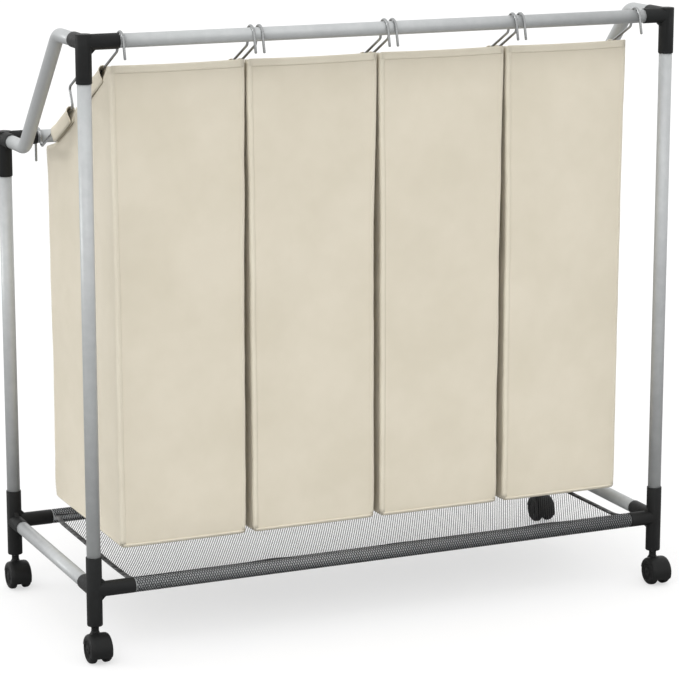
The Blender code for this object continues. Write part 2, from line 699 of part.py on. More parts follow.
def build_shelf():
    """The net shelf: a sleeve round each long bottom rail and a slightly sagging sheet between them."""
    inner = TUBE_RADIUS + GAP
    outer = inner + NET
    join = math.asin(NET / 2 / outer)
    front = (FRONT_Y, BOTTOM_RAIL_Z)
    rear = (REAR_Y, BOTTOM_RAIL_Z)
    start_y = FRONT_Y + outer * math.cos(join)
    end_y = REAR_Y - outer * math.cos(join)

    def sheet_run(offset):
        shares = [step / NET_SPAN_STEPS for step in range(1, NET_SPAN_STEPS)]
        return [
            (start_y + (end_y - start_y) * share, BOTTOM_RAIL_Z + offset - NET_SAG * 4 * share * (1 - share))
            for share in shares
        ]

    front_wrap = arc(front, outer, join, 2 * math.pi - join, NET_SIDES)
    rear_wrap = arc(rear, outer, -math.pi + join, math.pi - join, NET_SIDES)
    outline = front_wrap + sheet_run(-NET / 2) + rear_wrap + sheet_run(NET / 2)[::-1]
    holes = [circle(front, inner, NET_SIDES), circle(rear, inner, NET_SIDES)]
    start_x = LEFT_X + BOTTOM_LONG_ARM + NET_END_GAP
    end_x = RIGHT_X - BOTTOM_SHORT_ARM - NET_END_GAP
    place = Matrix.Translation(((start_x + end_x) / 2, 0, 0)) @ STAND_YZ
    plate("net_shelf", [outline, *holes], end_x - start_x, place, NETTING)


def main():
    build_tubes()
    build_connectors()
    build_casters()
    build_bags()
    build_shelf()


if __name__ == "__main__":
    main()
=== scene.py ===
"""Looks of the four-bag laundry sorter on casters.

Satin silver tubes in black push-fit corners, four cream cloth bags on plated wire hangers, a black net
shelf and four hooded twin-wheel casters. Everything is in metres, in the frame of its solids.
"""

import logging
import math
from dataclasses import dataclass
from enum import Enum
from typing import Callable, Iterable, Sequence

import bmesh
import bpy
from mathutils import Matrix, Vector, noise


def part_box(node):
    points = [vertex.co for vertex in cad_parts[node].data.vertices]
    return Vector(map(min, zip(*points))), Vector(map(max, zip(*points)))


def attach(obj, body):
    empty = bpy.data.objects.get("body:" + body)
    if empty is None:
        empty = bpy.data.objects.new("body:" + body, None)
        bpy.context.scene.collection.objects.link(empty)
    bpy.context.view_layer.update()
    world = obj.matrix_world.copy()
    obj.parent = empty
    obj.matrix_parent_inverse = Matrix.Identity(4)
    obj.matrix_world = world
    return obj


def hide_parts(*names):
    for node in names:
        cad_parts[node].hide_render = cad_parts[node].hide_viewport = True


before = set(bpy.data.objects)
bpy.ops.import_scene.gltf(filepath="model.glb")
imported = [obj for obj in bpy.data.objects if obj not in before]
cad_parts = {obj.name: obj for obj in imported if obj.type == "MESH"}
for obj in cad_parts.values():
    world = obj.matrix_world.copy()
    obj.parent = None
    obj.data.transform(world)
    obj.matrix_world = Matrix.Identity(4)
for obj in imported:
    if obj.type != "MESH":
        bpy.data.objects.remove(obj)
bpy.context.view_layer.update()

LOG = logging.getLogger("laundry_sorter")
UP = Vector((0, 0, 1))
CLOTH_MAP = "cloth"
SAME_PLACE = 0.0001
CUT_MERGE = 0.000005
TURNED_MERGE = 0.000002
SHARP_EDGE = math.radians(50)
EASED_EDGE = ((0.0, 0.0), (0.7, 0.3), (1.0, 1.0))
DOME_RINGS = (math.radians(30), math.radians(58), math.radians(80))
EVEN_BEVEL = {"profile": 0.5, "affect": "EDGES", "material": -1, "clamp_overlap": True}
QUARTER = math.pi / 2
FULL_TURN = 2 * math.pi
STILL = Matrix.Identity(4)

Profile = Sequence[tuple[float, float]]
Colour = tuple[int, int, int]
Shape = bmesh.types.BMesh
Edge = bmesh.types.BMEdge
Vert = bmesh.types.BMVert
Loop = bmesh.types.BMLoop


class Side(Enum):
    """The two ends of the row, as the sign of X."""

    LEFT = -1
    RIGHT = 1

    @property
    def word(self) -> str:
        """The side's name in the nodes."""
        return self.name.lower()


class Row(Enum):
    """The high front rail's row of posts and the low rear rail's, as the turn of a corner's short arm."""

    FRONT = 1
    REAR = -1

    @property
    def word(self) -> str:
        """The row's name in the nodes."""
        return self.name.lower()


# --- Shaping tools -----------------------------------------------------------------------------------


def between(table: Profile, value: float) -> float:
    """Reads a table of (position, height) pairs at a position.

    Args:
        table: The pairs, in rising order of position.
        value: The position, held within the table's ends.

    Returns:
        The height, on a straight line between its neighbours.
    """
    if value <= table[0][0]:
        return table[0][1]
    for (start, low), (end, high) in zip(table, table[1:]):
        if value <= end:
            return low + (high - low) * (value - start) / (end - start)
    return table[-1][1]


def ease(value: float, start: float, end: float) -> float:
    """A smooth step from 0 at start to 1 at end, flat at both."""
    held = min(max((value - start) / (end - start), 0.0), 1.0)
    return held * held * (3 - 2 * held)


def evenly(start: float, end: float, steps: int) -> list[float]:
    """Evenly spaced values, both ends included."""
    return [start + (end - start) * step / steps for step in range(steps + 1)]


def arc_points(centre: Vector, radius: float, start: float, end: float, steps: int) -> list[Vector]:
    """Points of an arc in the YZ plane, both ends included.

    Args:
        centre: The arc's centre.
        radius: Its radius.
        start: The first angle, from +Y towards +Z.
        end: The last angle.
        steps: The number of steps between them.

    Returns:
        The points, at the centre's X.
    """
    angles = evenly(start, end, steps)
    return [centre + radius * Vector((0, math.cos(angle), math.sin(angle))) for angle in angles]


def rounded_route(corners: Sequence[tuple[Vector, float]], arc_step: float) -> list[Vector]:
    """An open route with its corners rounded.

    Args:
        corners: Each corner's place and bend radius, which is 0 at both ends.
        arc_step: The largest turn between two points of a bend.

    Returns:
        The route's points.
    """
    points = [corners[0][0].copy()]
    for before, (place, radius), after in zip(corners, corners[1:], corners[2:]):
        back = (before[0] - place).normalized()
        onward = (after[0] - place).normalized()
        angle = back.angle(onward)
        turn = math.pi - angle
        centre = place + (back + onward).normalized() * radius / math.sin(angle / 2)
        spoke = place + back * radius / math.tan(angle / 2) - centre
        axis = onward.cross(back).normalized()
        count = math.ceil(turn / arc_step)
        for angle in evenly(0.0, turn, count):
            point = centre + Matrix.Rotation(angle, 3, axis) @ spoke
            if (point - points[-1]).length > SAME_PLACE:
                points.append(point)
    points.append(corners[-1][0].copy())
    return points


def spaced(route: Sequence[Vector], pitch: float) -> list[Vector]:
    """Points at even distances along a route.

    Args:
        route: The points of the route.
        pitch: The distance between two points, which is adjusted to fit a whole number.

    Returns:
        The points, both ends included.
    """
    runs = [0.0]
    for start, end in zip(route, route[1:]):
        runs.append(runs[-1] + (end - start).length)
    count = max(1, round(runs[-1] / pitch))
    points = []
    leg = 0
    for index in range(count + 1):
        want = runs[-1] * index / count
        while leg < len(runs) - 2 and runs[leg + 1] < want:
            leg += 1
        share = (want - runs[leg]) / max(runs[leg + 1] - runs[leg], 1e-9)
        points.append(route[leg].lerp(route[leg + 1], share))
    return points


def route_frames(route: Sequence[Vector]) -> list[Matrix]:
    """Frames along a route, which turn no more than the route does.

    Args:
        route: The points of the route.

    Returns:
        A frame at each point, its Z along the route.
    """
    tangents = []
    for index, point in enumerate(route):
        before = route[max(index - 1, 0)]
        after = route[min(index + 1, len(route) - 1)]
        tangents.append(((point - before).normalized() + (after - point).normalized()).normalized())
    turn = UP.rotation_difference(tangents[0]).to_matrix()
    frames = [Matrix.Translation(route[0]) @ turn.to_4x4()]
    for index in range(1, len(route)):
        turn = tangents[index - 1].rotation_difference(tangents[index]).to_matrix() @ turn
        frames.append(Matrix.Translation(route[index]) @ turn.to_4x4())
    return frames


def pull_edges(shape: Shape, edges: list[Edge], matrix: Matrix) -> list[Edge]:
    """Extrudes a run of edges and moves the new ones.

    Args:
        shape: The mesh being made.
        edges: The edges to extrude.
        matrix: Where the new edges go.

    Returns:
        The new edges, without those that join them to the old ones.
    """
    made = bmesh.ops.extrude_edge_only(shape, edges=edges)["geom"]
    points = {item for item in made if isinstance(item, Vert)}
    bmesh.ops.transform(shape, matrix=matrix, verts=list(points))
    return [item for item in made if isinstance(item, Edge) and points.issuperset(item.verts)]


def in_order(edges: list[Edge]) -> list[Vert]:
    """The points of a run of edges.

    Args:
        edges: The edges, in the order of the run.

    Returns:
        Their points, in the same order.
    """
    run = list(edges[0].verts)
    if run[0] in edges[1].verts:
        run.reverse()
    for edge in edges[1:]:
        run.append(edge.other_vert(run[-1]))
    return run


def along_axis(edge: Edge, axis: int) -> float:
    """How far an edge reaches along an axis: 0 for X, 1 for Y, 2 for Z."""
    return abs((edge.verts[1].co - edge.verts[0].co)[axis])


def carry(shape: Shape, rows: Sequence[Sequence[Vector]]) -> None:
    """Adds a skin through rows of points, each row with as many points as the first.

    Args:
        shape: The mesh being made.
        rows: The rows, in order.
    """
    edges = draw_line(shape, rows[0])
    for row in rows[1:]:
        edges = pull_edges(shape, edges, STILL)
        for vert, place in zip(in_order(edges), row):
            vert.co = place


def close_tip(shape: Shape, ring: list[Edge], place: Matrix, depth: float) -> None:
    """Closes a ring of edges with a domed tip.

    Args:
        shape: The mesh being made.
        ring: The ring of edges at the bar's end.
        place: The frame of the ring, its Z along the bar.
        depth: How far the dome stands out along Z, which is negative at the bar's start.
    """
    reached = 1.0
    height = 0.0
    for angle in DOME_RINGS:
        width = math.cos(angle)
        rise = depth * math.sin(angle)
        shrink = Matrix.Diagonal((width / reached, width / reached, 1, 1))
        step = Matrix.Translation((0, 0, rise)) @ shrink @ Matrix.Translation((0, 0, -height))
        ring = pull_edges(shape, ring, place @ step @ place.inverted())
        reached = width
        height = rise
    bmesh.ops.contextual_create(shape, geom=ring)


def sweep_round(route: Sequence[Vector], radius: float, sides: int, dome: float = 0.0) -> Shape:
    """A round bar along an open route.

    Args:
        route: The points of its centreline.
        radius: The bar's radius.
        sides: The number of faces round it.
        dome: How far its two tips stand out, or 0 to leave it open for a wall.

    Returns:
        The bar.
    """
    shape = bmesh.new()
    frames = route_frames(route)
    bmesh.ops.create_circle(shape, cap_ends=False, radius=radius, segments=sides, matrix=frames[0])
    first = list(shape.edges)
    ring = first
    for before, after in zip(frames, frames[1:]):
        ring = pull_edges(shape, ring, after @ before.inverted())
    if dome:
        close_tip(shape, ring, frames[-1], dome)
        close_tip(shape, first, frames[0], -dome)
    bmesh.ops.recalc_face_normals(shape, faces=shape.faces)
    return shape


def draw_line(shape: Shape, points: Iterable[Vector], closed: bool = False) -> list[Edge]:
    """Adds a run of edges through the points.

    Args:
        shape: The mesh being made.
        points: The run's points.
        closed: Whether the last point joins the first.

    Returns:
        The run's edges.
    """
    verts = [shape.verts.new(point) for point in points]
    edges = [shape.edges.new(pair) for pair in zip(verts, verts[1:])]
    if closed:
        edges.append(shape.edges.new((verts[-1], verts[0])))
    return edges


def rod_profile(radius: float, start: float, end: float) -> Profile:
    """The outline of a plain rod along Z, to be turned."""
    return [(0, start), (radius, start), (radius, end), (0, end)]


def turn_profile(profile: Profile, steps: int, place: Matrix) -> Shape:
    """A solid turned about Z.

    Args:
        profile: Its outline as (radius, height), from axis to axis.
        steps: The number of faces round it.
        place: Where the solid goes.

    Returns:
        The solid.
    """
    shape = bmesh.new()
    edges = draw_line(shape, [Vector((radius, 0, height)) for radius, height in profile])
    bmesh.ops.spin(
        shape,
        geom=edges + list(shape.verts),
        cent=(0, 0, 0),
        axis=(0, 0, 1),
        angle=FULL_TURN,
        steps=steps,
        use_merge=True,
    )
    bmesh.ops.remove_doubles(shape, verts=shape.verts, dist=TURNED_MERGE)
    bmesh.ops.recalc_face_normals(shape, faces=shape.faces)
    bmesh.ops.transform(shape, matrix=place, verts=shape.verts)
    return shape


def cut_plate(outline: Sequence[Vector], thickness: Vector, rounding: float) -> Shape:
    """A flat plate with its edges eased.

    Args:
        outline: The outline's points, in one plane.
        thickness: The way from one face to the other.
        rounding: How far each edge is bevelled.

    Returns:
        The plate, its thickness centred on the outline's plane.
    """
    shape = bmesh.new()
    edges = draw_line(shape, [point - thickness / 2 for point in outline], closed=True)
    face = bmesh.ops.contextual_create(shape, geom=edges)["faces"]
    made = bmesh.ops.extrude_face_region(shape, geom=face)["geom"]
    bmesh.ops.translate(shape, vec=thickness, verts=[item for item in made if isinstance(item, Vert)])
    bmesh.ops.recalc_face_normals(shape, faces=shape.faces)
    shape.normal_update()
    sharp = [edge for edge in shape.edges if edge.calc_face_angle(0.0) > SHARP_EDGE]
    bmesh.ops.bevel(shape, geom=sharp, offset=rounding, segments=2, **EVEN_BEVEL)
    return shape


def as_object(name: str, shape: Shape) -> bpy.types.Object:
    """Turns a finished shape into an object at the origin.

    Args:
        name: The object's name.
        shape: Its mesh, which is freed.

    Returns:
        The object.
    """
    mesh = bpy.data.meshes.new(name)
    shape.to_mesh(mesh)
    shape.free()
    obj = bpy.data.objects.new(name, mesh)
    bpy.context.scene.collection.objects.link(obj)
    return obj


def combined(joined: Sequence[Shape], cut: Sequence[Shape] = ()) -> Shape:
    """Joins closed shapes into one skin and cuts others out of it.

    Args:
        joined: The shapes to join, which overlap.
        cut: The shapes to take away.

    Returns:
        The one closed shape.
    """
    body = as_object("blank", joined[0])
    helpers = []
    for operation, shapes in (("UNION", joined[1:]), ("DIFFERENCE", cut)):
        for other in shapes:
            helper = as_object("helper", other)
            helpers.append(helper)
            boolean = body.modifiers.new(operation.lower(), "BOOLEAN")
            boolean.operation = operation
            boolean.solver = "EXACT"
            boolean.object = helper
    bpy.context.view_layer.update()
    made = bpy.data.meshes.new_from_object(body.evaluated_get(bpy.context.evaluated_depsgraph_get()))
    shape = bmesh.new()
    shape.from_mesh(made)
    for obj in (body, *helpers):
        bpy.data.objects.remove(obj)
    bpy.data.meshes.remove(made)
    bmesh.ops.remove_doubles(shape, verts=shape.verts, dist=CUT_MERGE)
    bmesh.ops.recalc_face_normals(shape, faces=shape.faces)
    return shape


def block(centre: Vector, size: Vector) -> Shape:
    """A box, by its centre and its size along each axis."""
    shape = bmesh.new()
    bmesh.ops.create_cube(shape, size=1.0, matrix=Matrix.LocRotScale(centre, None, size))
    return shape


def copied(shape: Shape, matrix: Matrix) -> Shape:
    """Copies a shape.

    Args:
        shape: The shape, which is kept.
        matrix: Where the copy goes.

    Returns:
        The copy.
    """
    other = shape.copy()
    bmesh.ops.transform(other, matrix=matrix, verts=other.verts)
    if matrix.determinant() < 0:
        bmesh.ops.reverse_faces(other, faces=other.faces)
    return other


@dataclass(frozen=True)
class Seat:
    """What a piece rides on, the slot of its finish and the solids that it stands for."""

    body: str
    slot: str
    nodes: tuple[str, ...] = ()


def make_piece(
    name: str, shape: Shape, finish: bpy.types.Material, seat: Seat, sharp: float = 38.0
) -> bpy.types.Object:
    """Makes a shape into a piece of the sorter.

    Args:
        name: The piece's name.
        shape: Its mesh, which is freed.
        finish: Its material.
        seat: Its body and solids, and a slot that is not used.
        sharp: The angle in degrees above which an edge stays crisp.

    Returns:
        The piece.
    """
    piece = as_object(name, shape)
    piece.data.materials.append(finish)
    piece.data.shade_smooth()
    piece.data.set_sharp_from_angle(angle=math.radians(sharp))
    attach(piece, seat.body)
    if seat.nodes:
        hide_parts(*seat.nodes)
    LOG.info("%s: %d faces on %s", name, len(piece.data.polygons), seat.body)
    return piece


def give_wall(piece: bpy.types.Object, thickness: float, offset: float = -1.0) -> None:
    """Gives an open skin its thickness.

    Args:
        piece: The skin.
        thickness: How thick it gets.
        offset: -1 for inwards, 0 for both sides and 1 for outwards.
    """
    wall = piece.modifiers.new("wall", "SOLIDIFY")
    wall.thickness = thickness
    wall.offset = offset
    wall.use_even_offset = True
    wall.thickness_clamp = 1.0


def lay_map(shape: Shape, along: Callable[[Loop], tuple[float, float]]) -> None:
    """Gives the shape a map in metres.

    Args:
        shape: The mesh being made.
        along: Gives the two map coordinates of a face corner.
    """
    layer = shape.loops.layers.uv.new(CLOTH_MAP)
    for face in shape.faces:
        for loop in face.loops:
            loop[layer].uv = along(loop)


def panel_map(loop: Loop) -> tuple[float, float]:
    """The map of a cloth panel.

    Args:
        loop: A corner of one of its faces.

    Returns:
        The corner's place along the two directions that the face lies in.
    """
    normal = loop.face.normal
    place = loop.vert.co
    if abs(normal.z) > max(abs(normal.x), abs(normal.y)):
        return place.x, place.y
    if abs(normal.x) > abs(normal.y):
        return place.y, place.z
    return place.x, place.z


def mapped(shape: Shape) -> Shape:
    """Finishes a cloth shape whose faces lie square to the axes.

    Args:
        shape: The shape.

    Returns:
        The same shape, with its map.
    """
    shape.normal_update()
    lay_map(shape, panel_map)
    return shape


# --- Finishes ----------------------------------------------------------------------------------------


def linear(value: float) -> float:
    """One sRGB channel, 0 to 255, as a linear value."""
    share = value / 255
    return share / 12.92 if share <= 0.04045 else ((share + 0.055) / 1.055) ** 2.4


def rgba(colour: Colour) -> tuple[float, float, float, float]:
    """An sRGB colour as linear red, green and blue with full alpha."""
    red, green, blue = (linear(channel) for channel in colour)
    return red, green, blue, 1.0


class Bench:
    """Adds and links the nodes of one material or node group."""

    def __init__(self, tree: bpy.types.NodeTree) -> None:
        """Keeps the tree that the nodes go into."""
        self.tree = tree

    def add(self, kind: str, **settings: object) -> bpy.types.Node:
        """Adds a node.

        Args:
            kind: The node's type.
            **settings: The properties to set on it.

        Returns:
            The node.
        """
        node = self.tree.nodes.new(kind)
        for key, value in settings.items():
            setattr(node, key, value)
        return node

    def feed(self, target: bpy.types.NodeSocket, source: object) -> None:
        """Feeds a socket.

        Args:
            target: The socket.
            source: The socket to link it to, or the value to set.
        """
        if isinstance(source, bpy.types.NodeSocket):
            self.tree.links.new(source, target)
        else:
            target.default_value = source

    def sums(self, operation: str, *values: object) -> bpy.types.NodeSocket:
        """Adds a Math node.

        Args:
            operation: What it does.
            *values: Its inputs.

        Returns:
            Its result.
        """
        node = self.add("ShaderNodeMath", operation=operation)
        for socket, value in zip(node.inputs, values):
            self.feed(socket, value)
        return node.outputs[0]

    def ranged(
        self, value: object, start: float, end: object, low: float, high: float
    ) -> bpy.types.NodeSocket:
        """Maps a value from one range to another, held at its ends.

        Args:
            value: The value.
            start: The first range's start.
            end: The first range's end.
            low: What the start becomes.
            high: What the end becomes.

        Returns:
            The mapped value.
        """
        node = self.add("ShaderNodeMapRange")
        for socket, given in zip(node.inputs, (value, start, end, low, high)):
            self.feed(socket, given)
        return node.outputs["Result"]

    def blend(self, factor: object, first: object, second: object) -> bpy.types.NodeSocket:
        """Mixes two colours.

        Args:
            factor: How much of the second shows.
            first: The first colour.
            second: The second one.

        Returns:
            The mixed colour.
        """
        node = self.add("ShaderNodeMix", data_type="RGBA")
        self.feed(node.inputs["Factor"], factor)
        self.feed(node.inputs["A"], first)
        self.feed(node.inputs["B"], second)
        return node.outputs["Result"]

    def noise(self, vector: object, scale: object, detail: float = 2.0) -> bpy.types.NodeSocket:
        """Adds a noise texture.

        Args:
            vector: Where it is read.
            scale: How many of its waves fit in a metre.
            detail: How many finer layers it has.

        Returns:
            Its value.
        """
        node = self.add("ShaderNodeTexNoise")
        self.feed(node.inputs["Vector"], vector)
        self.feed(node.inputs["Scale"], scale)
        node.inputs["Detail"].default_value = detail
        return node.outputs["Fac"]

    def group(self, tree: bpy.types.NodeTree, **values: object) -> bpy.types.Node:
        """Places a node group.

        Args:
            tree: The group.
            **values: What its inputs get.

        Returns:
            The group's node.
        """
        node = self.add("ShaderNodeGroup", node_tree=tree)
        for name, value in values.items():
            self.feed(node.inputs[name], value)
        return node


@dataclass(frozen=True)
class EffectGroups:
    """The effects that several finishes share, each a node group."""

    grain: bpy.types.NodeTree
    mottle: bpy.types.NodeTree
    weave: bpy.types.NodeTree
    rubbed: bpy.types.NodeTree

    @staticmethod
    def _blank(
        name: str, inputs: Sequence[str], outputs: Sequence[str]
    ) -> tuple[Bench, bpy.types.Node, bpy.types.Node]:
        """Makes an empty group.

        Args:
            name: The group's name.
            inputs: Its inputs' names, of which Vector is a vector and the rest are numbers.
            outputs: Its outputs' names, all numbers.

        Returns:
            The bench, and the group's input and output nodes.
        """
        tree = bpy.data.node_groups.new(name, "ShaderNodeTree")
        for word in inputs:
            kind = "NodeSocketVector" if word == "Vector" else "NodeSocketFloat"
            tree.interface.new_socket(name=word, in_out="INPUT", socket_type=kind)
        for word in outputs:
            tree.interface.new_socket(name=word, in_out="OUTPUT", socket_type="NodeSocketFloat")
        bench = Bench(tree)
        return bench, bench.add("NodeGroupInput"), bench.add("NodeGroupOutput")

    @classmethod
    def build(cls) -> "EffectGroups":
        """Makes the four groups."""
        return cls(cls._grain(), cls._mottle(), cls._weave(), cls._rubbed())

    @classmethod
    def _grain(cls) -> bpy.types.NodeTree:
        """Makes fine surface grain.

        Returns:
            The group: a height, and a slower speckle for roughness.
        """
        bench, given, out = cls._blank("fine_grain", ("Vector", "Size"), ("Height", "Speckle"))
        scale = bench.sums("DIVIDE", 1.0, given.outputs["Size"])
        slow = bench.sums("MULTIPLY", scale, 0.23)
        bench.feed(out.inputs["Height"], bench.noise(given.outputs["Vector"], scale, 3.0))
        bench.feed(out.inputs["Speckle"], bench.noise(given.outputs["Vector"], slow, 2.0))
        return bench.tree

    @classmethod
    def _mottle(cls) -> bpy.types.NodeTree:
        """Makes broad, soft unevenness.

        Returns:
            The group: a tone from 0 to 1, in two sizes of noise.
        """
        bench, given, out = cls._blank("soft_mottle", ("Vector", "Size"), ("Tone",))
        scale = bench.sums("DIVIDE", 1.0, given.outputs["Size"])
        broad = bench.noise(given.outputs["Vector"], scale, 1.0)
        small = bench.noise(given.outputs["Vector"], bench.sums("MULTIPLY", scale, 4.3), 3.0)
        both = bench.sums("ADD", bench.sums("MULTIPLY", broad, 0.65), bench.sums("MULTIPLY", small, 0.35))
        bench.feed(out.inputs["Tone"], bench.ranged(both, 0.36, 0.64, 0.0, 1.0))
        return bench.tree

    @classmethod
    def _weave(cls) -> bpy.types.NodeTree:
        """Makes a plain weave on a map in metres, whose threads pass over each other by turns.

        Returns:
            The group: the threads' height.
        """
        bench, given, out = cls._blank("plain_weave", ("Vector", "Pitch"), ("Height",))
        split = bench.add("ShaderNodeSeparateXYZ")
        bench.feed(split.inputs[0], given.outputs["Vector"])
        waves = []
        turns = []
        for axis in ("X", "Y"):
            turn = bench.sums("DIVIDE", split.outputs[axis], given.outputs["Pitch"])
            wave = bench.sums("SINE", bench.sums("MULTIPLY", turn, math.pi))
            waves.append(bench.sums("ABSOLUTE", wave))
            turns.append(bench.sums("FLOOR", turn))
        odd = bench.sums("PINGPONG", bench.sums("ADD", *turns), 1.0)
        over = bench.sums("MULTIPLY", waves[0], odd)
        under = bench.sums("MULTIPLY", waves[1], bench.sums("SUBTRACT", 1.0, odd))
        bench.feed(out.inputs["Height"], bench.sums("MAXIMUM", over, under))
        return bench.tree

    @classmethod
    def _rubbed(cls) -> bpy.types.NodeTree:
        """Makes rubbed edges.

        Returns:
            The group: a mask of where handling has rubbed a surface, broken up by noise.
        """
        bench, given, out = cls._blank("rubbed_edges", ("Vector", "Amount"), ("Mask",))
        edges = bench.add("ShaderNodeNewGeometry").outputs["Pointiness"]
        ridge = bench.ranged(edges, 0.51, 0.6, 0.0, 1.0)
        broken = bench.ranged(bench.noise(given.outputs["Vector"], 90.0, 4.0), 0.4, 0.65, 0.15, 1.0)
        mask = bench.sums("MULTIPLY", bench.sums("MULTIPLY", ridge, broken), given.outputs["Amount"])
        bench.feed(out.inputs["Mask"], mask)
        return bench.tree


@dataclass(frozen=True)
class Finish:
    """A finish's name, its two tones and how it reflects."""

    name: str
    tone: Colour
    second: Colour
    roughness: float
    metallic: float = 0.0
    specular: float = 0.5

    def start(self) -> tuple[bpy.types.Material, Bench, bpy.types.Node]:
        """Makes the material.

        Returns:
            The material, its bench and its Principled shader, with the plain values set.
        """
        material = bpy.data.materials.new(self.name)
        material.use_nodes = True
        shader = material.node_tree.nodes["Principled BSDF"]
        shader.inputs["Metallic"].default_value = self.metallic
        shader.inputs["Specular IOR Level"].default_value = self.specular
        shader.inputs["Roughness"].default_value = self.roughness
        return material, Bench(material.node_tree), shader

    @staticmethod
    def raise_surface(
        bench: Bench, shader: bpy.types.Node, height: object, depth: float, strength: float
    ) -> None:
        """Feeds the shader's Normal from a height.

        Args:
            bench: The material's bench.
            shader: Its shader.
            height: The height, from 0 to 1.
            depth: What a height of 1 is, in metres.
            strength: How much of it shows.
        """
        bump = bench.add("ShaderNodeBump")
        bump.inputs["Distance"].default_value = depth
        bump.inputs["Strength"].default_value = strength
        bench.feed(bump.inputs["Height"], height)
        bench.feed(shader.inputs["Normal"], bump.outputs["Normal"])


@dataclass(frozen=True)
class HardFinish(Finish):
    """Paint, plating or moulded plastic: grain, slow unevenness and rubbed edges."""

    grain: float = 0.0008
    depth: float = 0.00004
    rub: float = 0.3
    rub_tone: Colour = (200, 200, 200)
    spread: float = 0.05
    mottle: float = 0.12
    relief: float = 0.6

    def build(self, groups: EffectGroups) -> bpy.types.Material:
        """Makes the material.

        Args:
            groups: The shared effects.

        Returns:
            The material.
        """
        material, bench, shader = self.start()
        where = bench.add("ShaderNodeTexCoord").outputs["Object"]
        grain = bench.group(groups.grain, Vector=where, Size=self.grain)
        mottle = bench.group(groups.mottle, Vector=where, Size=self.mottle)
        rubbed = bench.group(groups.rubbed, Vector=where, Amount=self.rub)
        base = bench.blend(mottle.outputs["Tone"], rgba(self.tone), rgba(self.second))
        worn = bench.blend(rubbed.outputs["Mask"], base, rgba(self.rub_tone))
        bench.feed(shader.inputs["Base Color"], worn)
        low = self.roughness - self.spread
        rough = bench.ranged(grain.outputs["Speckle"], 0.3, 0.7, low, self.roughness + self.spread)
        bench.feed(shader.inputs["Roughness"], rough)
        self.raise_surface(bench, shader, grain.outputs["Height"], self.depth, self.relief)
        return material


@dataclass(frozen=True)
class ClothFinish(Finish):
    """Woven cloth with a soft sheen, uneven dye and painted shade between its threads."""

    pitch: float = 0.0007
    depth: float = 0.00025
    mottle: float = 0.11
    slub: float = 0.0016
    # Painted shade between the threads: how strongly it darkens the cloth, and how dark its tone is.
    between_threads: float = 0.18
    shade: float = 0.86
    fuzz: float = 0.5
    relief: float = 0.55
    sheen: float = 0.08
    sheen_roughness: float = 0.6

    def build(self, groups: EffectGroups) -> bpy.types.Material:
        """Makes the material, its weave on the cloth's own map.

        Args:
            groups: The shared effects.

        Returns:
            The material.
        """
        material, bench, shader = self.start()
        where = bench.add("ShaderNodeUVMap", uv_map=CLOTH_MAP).outputs["UV"]
        place = bench.add("ShaderNodeTexCoord").outputs["Object"]
        weave = bench.group(groups.weave, Vector=where, Pitch=self.pitch)
        mottle = bench.group(groups.mottle, Vector=place, Size=self.mottle)
        slub = bench.group(groups.grain, Vector=place, Size=self.slub)
        base = bench.blend(mottle.outputs["Tone"], rgba(self.tone), rgba(self.second))
        # Painted shade: the colour darkens towards a darker copy of the second tone where the weave sinks
        # between threads.
        shade = bench.ranged(weave.outputs["Height"], 0.1, 0.9, self.between_threads, 0.0)
        gap_shade_colour = rgba(tuple(round(channel * self.shade) for channel in self.second))
        bench.feed(shader.inputs["Base Color"], bench.blend(shade, base, gap_shade_colour))
        rough = bench.ranged(slub.outputs["Speckle"], 0.3, 0.7, self.roughness - 0.08, self.roughness + 0.05)
        bench.feed(shader.inputs["Roughness"], rough)
        fuzz = bench.sums("MULTIPLY", slub.outputs["Height"], self.fuzz)
        height = bench.sums("ADD", weave.outputs["Height"], fuzz)
        self.raise_surface(bench, shader, height, self.depth, self.relief)
        shader.inputs["Sheen Weight"].default_value = self.sheen
        shader.inputs["Sheen Roughness"].default_value = self.sheen_roughness
        return material


@dataclass(frozen=True)
class NetFinish(Finish):
    """Knitted net: threads in a diamond mesh, open between them, and closer in the doubled sleeves."""

    pitch_across: float = 0.0034
    pitch_along: float = 0.0066
    thin_thread: float = 0.005
    heavy_thread: float = 0.19
    sleeve_thread: float = 0.22
    half_span: float = 0.163
    grain: float = 0.0006
    depth: float = 0.0003
    relief: float = 0.7

    def build(self, groups: EffectGroups) -> bpy.types.Material:
        """Makes the material on the net's own map, with its openings cut by the alpha.

        Args:
            groups: The shared effects.

        Returns:
            The material.
        """
        material, bench, shader = self.start()
        where = bench.add("ShaderNodeUVMap", uv_map=CLOTH_MAP).outputs["UV"]
        split = bench.add("ShaderNodeSeparateXYZ")
        bench.feed(split.inputs[0], where)
        across = bench.sums("DIVIDE", split.outputs["X"], self.pitch_across)
        along = bench.sums("DIVIDE", split.outputs["Y"], self.pitch_along)
        doubled = bench.sums("GREATER_THAN", bench.sums("ABSOLUTE", split.outputs["Y"]), self.half_span)
        threads = []
        crowns = []
        for operation, thread in (("ADD", self.thin_thread), ("SUBTRACT", self.heavy_thread)):
            turn = bench.sums(operation, across, along)
            wave = bench.sums("SINE", bench.sums("MULTIPLY", turn, math.pi))
            hollow = bench.sums("MULTIPLY", wave, wave)
            width = bench.ranged(doubled, 0.0, 1.0, thread, self.sleeve_thread)
            threads.append(bench.sums("LESS_THAN", hollow, width))
            crowns.append(bench.ranged(hollow, 0.0, width, 1.0, 0.0))
        bench.feed(shader.inputs["Alpha"], bench.sums("MAXIMUM", *threads))
        place = bench.add("ShaderNodeTexCoord").outputs["Object"]
        grain = bench.group(groups.grain, Vector=place, Size=self.grain)
        base = bench.blend(grain.outputs["Speckle"], rgba(self.tone), rgba(self.second))
        bench.feed(shader.inputs["Base Color"], base)
        self.raise_surface(bench, shader, bench.sums("MAXIMUM", *crowns), self.depth, self.relief)
        return material


